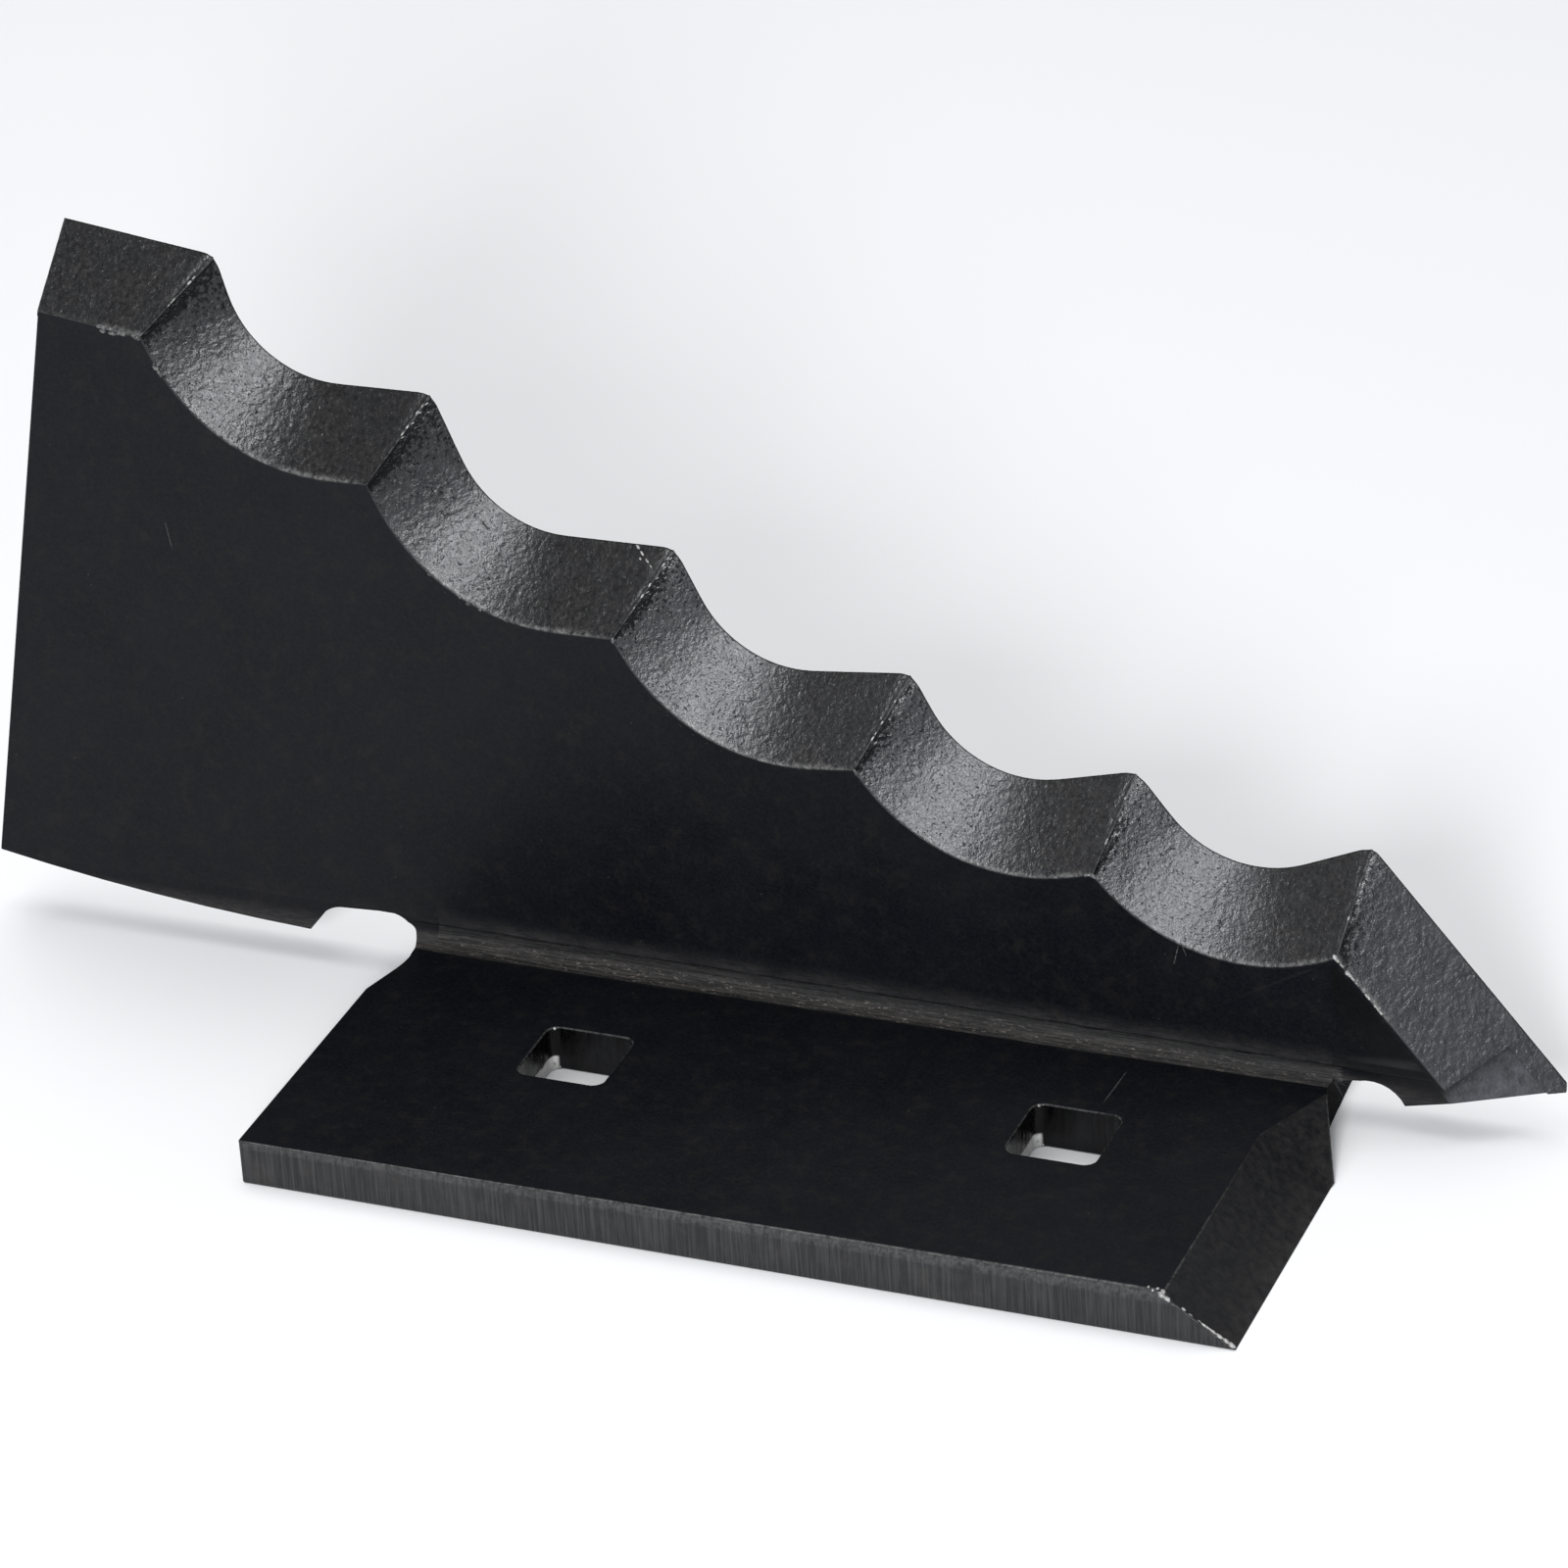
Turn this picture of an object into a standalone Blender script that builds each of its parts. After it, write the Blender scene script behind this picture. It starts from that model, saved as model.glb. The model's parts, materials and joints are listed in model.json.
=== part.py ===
"""Bolt-on serrated edge knife: one plate folded to an L, with hard-facing along its cutting edge.

The origin is on the underside of the mounting flange, midway between the two bolt holes.
+X runs along the fold toward the pointed nose, +Y from the flange's free edge to the upright
blade, and +Z up. All sizes are in metres.
"""

import math

import bmesh
import bpy
from mathutils import Vector

MM = 0.001

# ---- plate and fold ----------------------------------------------------------------------
PLATE = 9.6 * MM                 # thickness of the plate
FOLD_RADIUS = 3.4 * MM           # inside radius of the fold
NEUTRAL_LINE = 0.4               # depth of the unstretched layer, as a share of the thickness
FOLD_STEPS = 12                  # flat strips round the fold
FOLD_LENGTH = math.pi / 2 * (FOLD_RADIUS + NEUTRAL_LINE * PLATE)
BLADE_FACE_Y = 32.4 * MM         # front face of the upright blade, from the bolt line

# ---- mounting flange ---------------------------------------------------------------------
FLANGE_LEFT = -100.3 * MM
FLANGE_RIGHT = 99.4 * MM
FLANGE_FRONT_Y = -46.5 * MM
FLANGE_BEVEL = 14.0 * MM         # width of the ground right-hand end, seen from above
BEVEL_NARROWS = 22.0 * MM        # it starts to narrow this far in front of the blade
BEVEL_STOPS = 3.2 * MM           # and stops this far in front of it
BEVEL_NARROWING = 0.51           # width lost per unit of run
FLANGE_CORNER = 0.6 * MM
BOLT_SPACING = 100.0 * MM
BOLT_SQUARE = 18.0 * MM          # side of each square hole, for the square neck of a bolt
BOLT_SQUARE_CORNER = 2.4 * MM

# ---- blade outline, as seen from the front -----------------------------------------------
LEFT_EDGE_FOOT = (-189.9 * MM, 15.5 * MM)
LEFT_EDGE_LEAN = math.radians(10.5)
HEEL_ANGLE = math.radians(-7.4)
# Each point of the serrated edge, from the heel land to the nose.
EDGE_POINTS = [
    (-132.3 * MM, 151.1 * MM),
    (-88.8 * MM, 127.1 * MM),
    (-40.1 * MM, 100.4 * MM),
    (7.25 * MM, 80.1 * MM),
    (52.0 * MM, 65.6 * MM),
    (98.4 * MM, 56.5 * MM),
]
# Direction of the steep run into each scallop and of the easy run out of it, in degrees.
SCALLOP_RUNS = [(-76.0, 1.5), (-68.5, 1.2), (-65.0, 6.9), (-63.0, 14.8), (-52.4, 24.0)]
SCALLOP_RADIUS = 21.8 * MM
NOSE_ANGLE = math.radians(-50.4)
NOSE_END_X = 136.0 * MM          # the nose is blunt, cut off square here
NOSE_FOOT = (115.8 * MM, 8.4 * MM)
NOSE_FOOT_ANGLE = math.radians(1.0)
HEEL_SWEEP_RADIUS = 500.0 * MM   # long arc of the blade's lower edge behind the fold

# ---- relief notches at the two ends of the fold, from the near end of each -----------------
LEFT_NOTCH = [                   # corner across, height or depth from the fold, fillet
    (-99.8 * MM, -17.2 * MM, 0.0),
    (-96.2 * MM, -4.5 * MM, 20.0 * MM),
    (-98.4 * MM, 13.4 * MM, 6.0 * MM),
    (-116.6 * MM, 12.3 * MM, 6.0 * MM),
    (-121.3 * MM, 6.2 * MM, 0.0),
]
RIGHT_NOTCH_CENTRE = (100.1 * MM, 1.5 * MM)
RIGHT_NOTCH_RADIUS = 7.6 * MM
RIGHT_NOTCH_ARC = (math.radians(25.0), math.radians(201.9))
RIGHT_NOTCH_DEPTH = -17.1 * MM
UNFOLDED_LEFT = -107.0 * MM      # the blade stays flat beyond these, past the notches
UNFOLDED_RIGHT = 93.0 * MM
UNFOLDED_RUN = 5.0 * MM          # length over which the fold dies out at the nose end

# ---- cutting bevel and its hard-facing ---------------------------------------------------
BEVEL = 16.0 * MM                # width of the bevel on the blade's face
SKIN = 1.0 * MM                  # thickness of the hard-facing at the cutting edge
SKIN_MARGIN = 0.6 * MM           # what is left of it at the front of the bevel
GAP = 0.3 * MM                   # clearance between touching pieces
RIDGE_GAP = 0.36 * MM            # gap between neighbouring lands, along the edge
POCKET = [                       # bare patch at the nose, seen from the front
    (109.0 * MM, 7.2 * MM),
    (125.9 * MM, 18.9 * MM),
    (135.5 * MM, 6.4 * MM),
    (133.0 * MM, 0.0),
    (109.0 * MM, 0.0),
]

BEVEL_SLOPE = math.atan2(PLATE, BEVEL)
SKIN_BACK = SKIN / math.sin(BEVEL_SLOPE)
BARE_SHIFT = GAP / math.sin(BEVEL_SLOPE)

# ---- construction ------------------------------------------------------------------------
ARC_STEP = math.radians(5.0)
NOTCH_STEP = math.radians(12.0)
SWEEP_STEP = math.radians(1.5)
SPLIT_ANGLE = ARC_STEP / 5       # least turn between an arc's first two points
UNFOLDED_STEPS = 3               # flat strips where the fold dies out
FOLD_PRECISION = 0.001 * MM
WELD = 0.01 * MM
OVER = 2.0 * MM                  # a cutter stands this far clear of the faces it leaves alone
FAR = 40.0 * MM                  # and reaches this far beyond what it cuts away


# ---- scene -------------------------------------------------------------------------------
def empty_scene():
    for thing in list(bpy.data.objects):
        bpy.data.objects.remove(thing, do_unlink=True)


def new_collection(name):
    collection = bpy.data.collections.new(name)
    bpy.context.scene.collection.children.link(collection)
    return collection


def new_material(name, colour, roughness, metallic):
    material = bpy.data.materials.new(name)
    material.use_nodes = True
    material.diffuse_color = (*colour, 1.0)
    shader = material.node_tree.nodes["Principled BSDF"]
    shader.inputs["Base Color"].default_value = (*colour, 1.0)
    shader.inputs["Roughness"].default_value = roughness
    shader.inputs["Metallic"].default_value = metallic
    return material


def new_object(name, mesh, collection):
    thing = bpy.data.objects.new(name, mesh)
    collection.objects.link(thing)
    return thing


def as_cutter(thing):
    thing.hide_render = True
    thing.display_type = "WIRE"
    return thing


def add_boolean(thing, cutter, operation):
    modifier = thing.modifiers.new(cutter.name, "BOOLEAN")
    modifier.operation = operation
    modifier.solver = "EXACT"
    modifier.object = cutter


# ---- plane geometry ----------------------------------------------------------------------
def along(angle):
    return Vector((math.cos(angle), math.sin(angle)))


def into_plate(angle):
    """Square to an edge that runs at this angle, pointing into the plate."""
    return Vector((math.sin(angle), -math.cos(angle)))


def meet(point_a, angle_a, point_b, angle_b):
    """Where two lines cross, each given by a point and a direction."""
    square_b = into_plate(angle_b)
    distance = (Vector(point_b) - Vector(point_a)).dot(square_b) / along(angle_a).dot(square_b)
    return Vector(point_a) + along(angle_a) * distance


def arc_points(centre, radius, start, end, step=ARC_STEP):
    """Points on an arc, ends included; angles are from +X."""
    count = max(2, math.ceil(abs(end - start) / step))
    return [Vector(centre) + radius * along(start + (end - start) * i / count) for i in range(count + 1)]


def filleted(before, corner, after, radius):
    """Points that round a corner with a fillet, or the sharp corner where the radius is 0."""
    corner = Vector(corner)
    if radius == 0.0:
        return [corner]
    back = (Vector(before) - corner).normalized()
    ahead = (Vector(after) - corner).normalized()
    half = back.angle(ahead) / 2
    first = corner + back * (radius / math.tan(half))
    last = corner + ahead * (radius / math.tan(half))
    centre = corner + (back + ahead).normalized() * (radius / math.sin(half))
    start = math.atan2(*(first - centre).yx)
    turn = (math.atan2(*(last - centre).yx) - start + math.pi) % (2 * math.pi) - math.pi
    return arc_points(centre, radius, start, start + turn)


def filleted_run(corners):
    """A run of (across, up, fillet) corners; its two ends stay sharp."""
    places = [corner[:2] for corner in corners]
    points = [Vector(places[0])]
    for i in range(1, len(corners) - 1):
        points += filleted(places[i - 1], places[i], places[i + 1], corners[i][2])
    return points + [Vector(places[-1])]


# ---- serrated edge -----------------------------------------------------------------------
class Land:
    """One stretch of the cutting edge: straight, or a scallop between two straight runs."""

    def __init__(self, start, end, way_in, way_out):
        self.start = Vector(start)
        self.way_in = way_in
        self.way_out = way_out
        self.centre = None
        if way_in != way_out:
            bottom = meet(start, way_in, end, way_out)
            half = (way_out - way_in) / 2
            run = SCALLOP_RADIUS * math.tan(half)
            self.straight_in = (bottom - self.start).length - run
            self.centre = self.start + along(way_in) * self.straight_in
            self.centre -= into_plate(way_in) * SCALLOP_RADIUS


def edge_lands():
    heel_corner = meet(LEFT_EDGE_FOOT, math.pi / 2 - LEFT_EDGE_LEAN, EDGE_POINTS[0], HEEL_ANGLE)
    lands = [Land(heel_corner, EDGE_POINTS[0], HEEL_ANGLE, HEEL_ANGLE)]
    for start, end, runs in zip(EDGE_POINTS, EDGE_POINTS[1:], SCALLOP_RUNS):
        lands.append(Land(start, end, math.radians(runs[0]), math.radians(runs[1])))
    lands.append(Land(EDGE_POINTS[-1], None, NOSE_ANGLE, NOSE_ANGLE))
    return lands


LANDS = edge_lands()


def ridge(before, after, inset, spare=0.0):
    """Corner between two lands inset into the plate, and the arc angle it stands at, if any."""
    deeper = inset + spare
    past = after.start + into_plate(before.way_out) * deeper
    inner = after.start + into_plate(after.way_in) * inset
    point = meet(past, before.way_out, inner, after.way_in)
    if after.centre is None or (point - after.start).dot(along(after.way_in)) < after.straight_in:
        return point, None
    radius = SCALLOP_RADIUS + inset
    reach = (past - after.centre).dot(into_plate(before.way_out))
    angle = before.way_out - math.acos(reach / radius)
    return after.centre + radius * into_plate(angle), angle


def heel_start(inset, beyond=0.0):
    heel = LANDS[0]
    inner = heel.start + into_plate(heel.way_in) * inset
    corner = meet(LEFT_EDGE_FOOT, math.pi / 2 - LEFT_EDGE_LEAN, inner, heel.way_in)
    return corner - along(heel.way_in) * beyond


def nose_end(inset):
    nose = LANDS[-1]
    inner = nose.start + into_plate(nose.way_in) * inset
    return meet(inner, nose.way_in, (NOSE_END_X + FAR, 0.0), math.pi / 2)


def land_points(index, inset, spare=0.0, beyond=0.0):
    """One land's edge line, inset into the plate by a distance measured on the blade's face."""
    land = LANDS[index]
    start_angle = None
    if index == 0:
        start = heel_start(inset, beyond)
    else:
        start, start_angle = ridge(LANDS[index - 1], land, inset, spare)
    end = nose_end(inset) if index == len(LANDS) - 1 else ridge(land, LANDS[index + 1], inset)[0]
    points = [start]
    if land.centre:
        first = land.way_in
        if start_angle is not None:
            first = max(first, start_angle + SPLIT_ANGLE)
        count = math.ceil((land.way_out - land.way_in) / ARC_STEP)
        for i in range(count + 1):
            angle = first + (land.way_out - first) * i / count
            points.append(land.centre + (SCALLOP_RADIUS + inset) * into_plate(angle))
    return points + [end]


def whole_edge(inset, beyond=0.0):
    points = land_points(0, inset, beyond=beyond)
    for index in range(1, len(LANDS)):
        points += land_points(index, inset)[1:]
    return points


# ---- solids ------------------------------------------------------------------------------
def prism(name, outline, thickness, collection):
    """A flat plate from a closed outline, centred on its own plane."""
    curve = bpy.data.curves.new(name, "CURVE")
    curve.dimensions = "2D"
    curve.fill_mode = "BOTH"
    curve.extrude = thickness / 2
    spline = curve.splines.new("POLY")
    spline.points.add(len(outline) - 1)
    for point, place in zip(spline.points, outline):
        point.co = (place[0], place[1], 0.0, 1.0)
    spline.use_cyclic_u = True
    guide = new_object(name + "_outline", curve, collection)
    bpy.context.view_layer.update()
    graph = bpy.context.evaluated_depsgraph_get()
    mesh = bpy.data.meshes.new_from_object(guide.evaluated_get(graph))
    bpy.data.objects.remove(guide, do_unlink=True)
    body = bmesh.new()
    body.from_mesh(mesh)
    bmesh.ops.remove_doubles(body, verts=body.verts, dist=WELD)
    bmesh.ops.recalc_face_normals(body, faces=body.faces)
    body.to_mesh(mesh)
    body.free()
    return new_object(name, mesh, collection)


def upright_prism(name, outline, collection):
    """A prism that stands across the blade, from an outline seen from the front."""
    thing = prism(name, outline, PLATE + 2 * FAR, collection)
    for vertex in thing.data.vertices:
        across, up, depth = vertex.co
        vertex.co = (across, BLADE_FACE_Y + PLATE / 2 - depth, up)
    return thing


def bar(name, rings, collection):
    """A closed bar through rings of four corners."""
    body = bmesh.new()
    loops = [[body.verts.new(corner) for corner in ring] for ring in rings]
    for near, far in zip(loops, loops[1:]):
        for i in range(4):
            j = (i + 1) % 4
            body.faces.new((near[i], near[j], far[j], far[i]))
    body.faces.new(loops[0])
    body.faces.new(loops[-1])
    bmesh.ops.recalc_face_normals(body, faces=body.faces)
    mesh = bpy.data.meshes.new(name)
    body.to_mesh(mesh)
    body.free()
    return new_object(name, mesh, collection)


def on_blade(point, depth):
    """A point of the blade, from its place on the front face and its depth behind that face."""
    return (point.x, BLADE_FACE_Y + depth, point.y)


# ---- folded plate ------------------------------------------------------------------------
def flat_from_height(height):
    """Place on the flat blank of a height on the blade."""
    return height - PLATE - FOLD_RADIUS + FOLD_LENGTH


def flat_from_depth(depth):
    """Place on the flat blank of a distance across the flange."""
    return depth - BLADE_FACE_Y + FOLD_RADIUS


def heel_sweep(start, end):
    """The long shallow arc of the blade's lower edge, which bows downward."""
    start, end = Vector(start), Vector(end)
    chord = end - start
    rise = math.sqrt(HEEL_SWEEP_RADIUS ** 2 - (chord.length / 2) ** 2)
    up = Vector((chord.y, -chord.x)).normalized()
    if up.y < 0:
        up = -up
    centre = (start + end) / 2 + up * rise
    first = math.atan2(*(start - centre).yx)
    last = math.atan2(*(end - centre).yx)
    return arc_points(centre, HEEL_SWEEP_RADIUS, first, last, SWEEP_STEP)


def blank_outline():
    """The flat blank: across, and along the plate through the fold."""
    outline = []
    for point in whole_edge(0.0):
        if point.x > NOSE_END_X:
            break
        outline.append(Vector((point.x, flat_from_height(point.y))))
    nose_top = meet(EDGE_POINTS[-1], NOSE_ANGLE, (NOSE_END_X, 0.0), math.pi / 2)
    nose_foot = meet(NOSE_FOOT, NOSE_FOOT_ANGLE, (NOSE_END_X, 0.0), math.pi / 2)
    outline.append(Vector((nose_top.x, flat_from_height(nose_top.y))))
    outline.append(Vector((nose_foot.x, flat_from_height(nose_foot.y))))
    outline.append(Vector((NOSE_FOOT[0], flat_from_height(NOSE_FOOT[1]))))
    outline += arc_points(RIGHT_NOTCH_CENTRE, RIGHT_NOTCH_RADIUS, *RIGHT_NOTCH_ARC, NOTCH_STEP)
    outline.append(Vector((FLANGE_RIGHT, RIGHT_NOTCH_DEPTH)))
    front = flat_from_depth(FLANGE_FRONT_Y)
    outline.append(Vector((FLANGE_RIGHT, front)))
    outline += filleted((FLANGE_RIGHT, front), (FLANGE_LEFT, front), (FLANGE_LEFT, 0.0), FLANGE_CORNER)
    notch = filleted_run(LEFT_NOTCH)
    foot = (LEFT_EDGE_FOOT[0], flat_from_height(LEFT_EDGE_FOOT[1]))
    return outline + notch[:-1] + heel_sweep(notch[-1], foot)


def bolt_hole_cutter(name, centre_x, collection):
    half = BOLT_SQUARE / 2
    corners = [(-half, -half), (half, -half), (half, half), (-half, half)]
    outline = []
    for i in range(4):
        outline += filleted(corners[i - 1], corners[i], corners[(i + 1) % 4], BOLT_SQUARE_CORNER)
    thing = prism(name, outline, 3 * PLATE, collection)
    thing.location.x = centre_x
    return as_cutter(thing)


def fold(place):
    """Carry a point of the flat blank to where the fold puts it."""
    across, run, height = place
    inside = PLATE / 2 - height
    top = PLATE + FOLD_RADIUS
    straight = Vector((across, BLADE_FACE_Y + inside, top + run - FOLD_LENGTH))
    if across < UNFOLDED_LEFT:
        return straight
    turn = min(max(run / FOLD_LENGTH, 0.0), 1.0) * math.pi / 2
    reach = FOLD_RADIUS + inside
    bend_y = BLADE_FACE_Y - FOLD_RADIUS
    bent = Vector((across, bend_y + reach * math.sin(turn), top - reach * math.cos(turn)))
    if run < 0.0:
        bent.y += run
    if run > FOLD_LENGTH:
        bent.z += run - FOLD_LENGTH
    if run < RIGHT_NOTCH_CENTRE[1]:
        return bent
    flat_share = min(max((across - UNFOLDED_RIGHT) / UNFOLDED_RUN, 0.0), 1.0)
    return bent.lerp(straight, flat_share)


def folded_blank(collection):
    thing = prism("bent_plate", blank_outline(), PLATE, collection)
    body = bmesh.new()
    body.from_mesh(thing.data)
    cuts = [((0.0, FOLD_LENGTH * i / FOLD_STEPS, 0.0), (0.0, 1.0, 0.0)) for i in range(FOLD_STEPS + 1)]
    for i in range(UNFOLDED_STEPS + 1):
        cuts.append(((UNFOLDED_RIGHT + UNFOLDED_RUN * i / UNFOLDED_STEPS, 0.0, 0.0), (1.0, 0.0, 0.0)))
    for place, normal in cuts:
        geometry = body.verts[:] + body.edges[:] + body.faces[:]
        bmesh.ops.bisect_plane(body, geom=geometry, dist=FOLD_PRECISION, plane_co=place, plane_no=normal)
    for vertex in body.verts:
        vertex.co = fold(vertex.co)
    bmesh.ops.recalc_face_normals(body, faces=body.faces)
    body.to_mesh(thing.data)
    body.free()
    return thing


def bevel_cutter(collection):
    """Everything in front of the bare bevel, along the whole serrated edge."""
    front = BEVEL + SKIN_MARGIN + BARE_SHIFT
    back = SKIN_BACK + BARE_SHIFT
    spill = (front - back) * OVER / PLATE
    top = EDGE_POINTS[0][1] + FAR
    near = whole_edge(front + spill, beyond=OVER)
    far = whole_edge(back - spill, beyond=OVER)
    rings = []
    for low, deep in zip(near, far):
        first = on_blade(low, -OVER)
        second = on_blade(deep, PLATE + OVER)
        rings.append((first, second, (second[0], second[1], top), (first[0], first[1], top)))
    return as_cutter(bar("edge_bevel_cutter", rings, collection))


def flange_bevel_cutter(collection):
    """The ground right-hand end of the flange, running out toward the fold."""
    slope = PLATE / FLANGE_BEVEL
    top_x = FLANGE_RIGHT - FLANGE_BEVEL
    narrow_y = BLADE_FACE_Y - BEVEL_NARROWS
    stop_y = BLADE_FACE_Y - BEVEL_STOPS
    stop_x = top_x + BEVEL_NARROWING * (stop_y - narrow_y)
    rings = []
    for x, y in ((top_x, FLANGE_FRONT_Y - OVER), (top_x, narrow_y), (stop_x, stop_y)):
        inner = x - OVER
        outer = FLANGE_RIGHT + OVER
        rings.append((
            (inner, y, PLATE + slope * OVER),
            (outer, y, PLATE - slope * (outer - x)),
            (outer, y, PLATE + FAR),
            (inner, y, PLATE + FAR),
        ))
    return as_cutter(bar("flange_bevel_cutter", rings, collection))


def bent_plate(parts, cutters, material):
    thing = folded_blank(parts)
    add_boolean(thing, bevel_cutter(cutters), "DIFFERENCE")
    add_boolean(thing, flange_bevel_cutter(cutters), "DIFFERENCE")
    for name, side in (("left_bolt_hole_cutter", -1), ("right_bolt_hole_cutter", 1)):
        add_boolean(thing, bolt_hole_cutter(name, side * BOLT_SPACING / 2, cutters), "DIFFERENCE")
    thing.data.materials.append(material)


# ---- hard-facing -------------------------------------------------------------------------
def hard_facing(name, index, parts, material):
    """The thin hard layer on one land of the bevel."""
    spare = RIDGE_GAP if index > 0 else 0.0
    layers = [
        (BEVEL, 0.0),
        (0.0, PLATE),
        (SKIN_BACK, PLATE),
        (BEVEL + SKIN_MARGIN, 0.0),
    ]
    lines = [land_points(index, inset, spare=spare) for inset, depth in layers]
    rings = []
    for corners in zip(*lines):
        rings.append([on_blade(corner, depth) for corner, (inset, depth) in zip(corners, layers)])
    thing = bar(name, rings, parts)
    thing.data.materials.append(material)
    return thing


def nose_hard_facing(parts, cutters, material):
    """The last land ends with the blunt nose, and leaves a bare patch at its foot."""
    thing = hard_facing("hardface_nose", len(LANDS) - 1, parts, material)
    start_x = EDGE_POINTS[-1][0] - FAR
    foot = meet(NOSE_FOOT, NOSE_FOOT_ANGLE, (start_x, 0.0), math.pi / 2)
    toe = meet(NOSE_FOOT, NOSE_FOOT_ANGLE, (NOSE_END_X, 0.0), math.pi / 2)
    top = EDGE_POINTS[-1][1] + FAR
    outline = [foot, toe, Vector((NOSE_END_X, top)), Vector((start_x, top))]
    add_boolean(thing, as_cutter(upright_prism("nose_trim", outline, cutters)), "INTERSECT")
    add_boolean(thing, as_cutter(upright_prism("nose_pocket_cutter", POCKET, cutters)), "DIFFERENCE")


def main():
    empty_scene()
    parts = new_collection("serrated_edge_knife")
    cutters = new_collection("cutters")
    black_paint = new_material("black_paint", (0.012, 0.012, 0.014), 0.55, 0.0)
    hard_metal = new_material("hard_facing", (0.035, 0.038, 0.042), 0.42, 0.3)
    bent_plate(parts, cutters, black_paint)
    hard_facing("hardface_heel", 0, parts, hard_metal)
    for number in range(1, len(SCALLOP_RUNS) + 1):
        hard_facing(f"hardface_scallop_{number}", number, parts, hard_metal)
    nose_hard_facing(parts, cutters, hard_metal)


main()
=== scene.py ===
"""Bolt-on serrated edge knife: a folded steel plate with pebbled hard-facing on its cutting edge.

The frame's CAD nodes give every position. The plate and each hard-facing layer are replaced by
finer pieces with scuffed edges, a pressed fold, cut-face striations, weld beads and burrs. Their
paints also carry painted light, shade, glints and reflections.
"""

import json
import math
import random

import bmesh
import bpy
import numpy as np
from mathutils import Matrix, Vector, noise


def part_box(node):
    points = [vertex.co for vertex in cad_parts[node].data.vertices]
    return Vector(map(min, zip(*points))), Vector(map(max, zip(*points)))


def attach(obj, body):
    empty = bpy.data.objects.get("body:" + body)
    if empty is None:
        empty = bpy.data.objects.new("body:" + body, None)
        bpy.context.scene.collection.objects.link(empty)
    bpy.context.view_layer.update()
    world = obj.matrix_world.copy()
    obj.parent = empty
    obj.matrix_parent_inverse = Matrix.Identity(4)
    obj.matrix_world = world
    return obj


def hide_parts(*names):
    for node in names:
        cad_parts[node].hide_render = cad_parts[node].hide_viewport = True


MM = 0.001
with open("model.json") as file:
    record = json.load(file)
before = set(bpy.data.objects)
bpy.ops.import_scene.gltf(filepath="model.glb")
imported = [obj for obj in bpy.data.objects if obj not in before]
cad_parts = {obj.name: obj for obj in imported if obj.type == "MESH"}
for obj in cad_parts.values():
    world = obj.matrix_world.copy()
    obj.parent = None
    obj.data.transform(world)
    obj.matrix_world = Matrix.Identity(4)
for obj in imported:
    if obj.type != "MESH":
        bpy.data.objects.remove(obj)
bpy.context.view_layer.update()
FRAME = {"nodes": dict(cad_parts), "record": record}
LANDS = ["hardface_heel"] + [f"hardface_scallop_{n}" for n in range(1, 6)] + ["hardface_nose"]

# ---- camera ------------------------------------------------------------------------------
VIEW_AZIMUTH = math.radians(23.222)
VIEW_ELEVATION = math.radians(29.391)
VIEW_ROLL = math.radians(-3.646)
VIEW_DISTANCE = 1.40679
VIEW_TARGET = Vector((-0.01652, 0.0324, 0.05741))
LENS = 168.41

# ---- sizes read from the frame -------------------------------------------------------------
PLATE_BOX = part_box("bent_plate")
FLANGE_FRONT = PLATE_BOX[0][1]
BLADE_BACK = PLATE_BOX[1][1]
PLATE_TOP = FRAME["record"]["mounts"][1]["pos_m"][2]
BLADE_FRONT = BLADE_BACK - PLATE_TOP
FOLD_RADIUS = 3.4 * MM


# ---- small helpers -------------------------------------------------------------------------
def add_object(name, mesh):
    thing = bpy.data.objects.new(name, mesh)
    bpy.context.scene.collection.objects.link(thing)
    return thing


def mesh_from(name, body):
    mesh = bpy.data.meshes.new(name)
    bmesh.ops.recalc_face_normals(body, faces=body.faces)
    body.to_mesh(mesh)
    body.free()
    return mesh


def cad_body(node):
    """A node's CAD mesh as a bmesh, with its doubled corners joined."""
    body = bmesh.new()
    body.from_mesh(FRAME["nodes"][node].data)
    bmesh.ops.remove_doubles(body, verts=body.verts, dist=0.002 * MM)
    body.normal_update()
    return body


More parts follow.
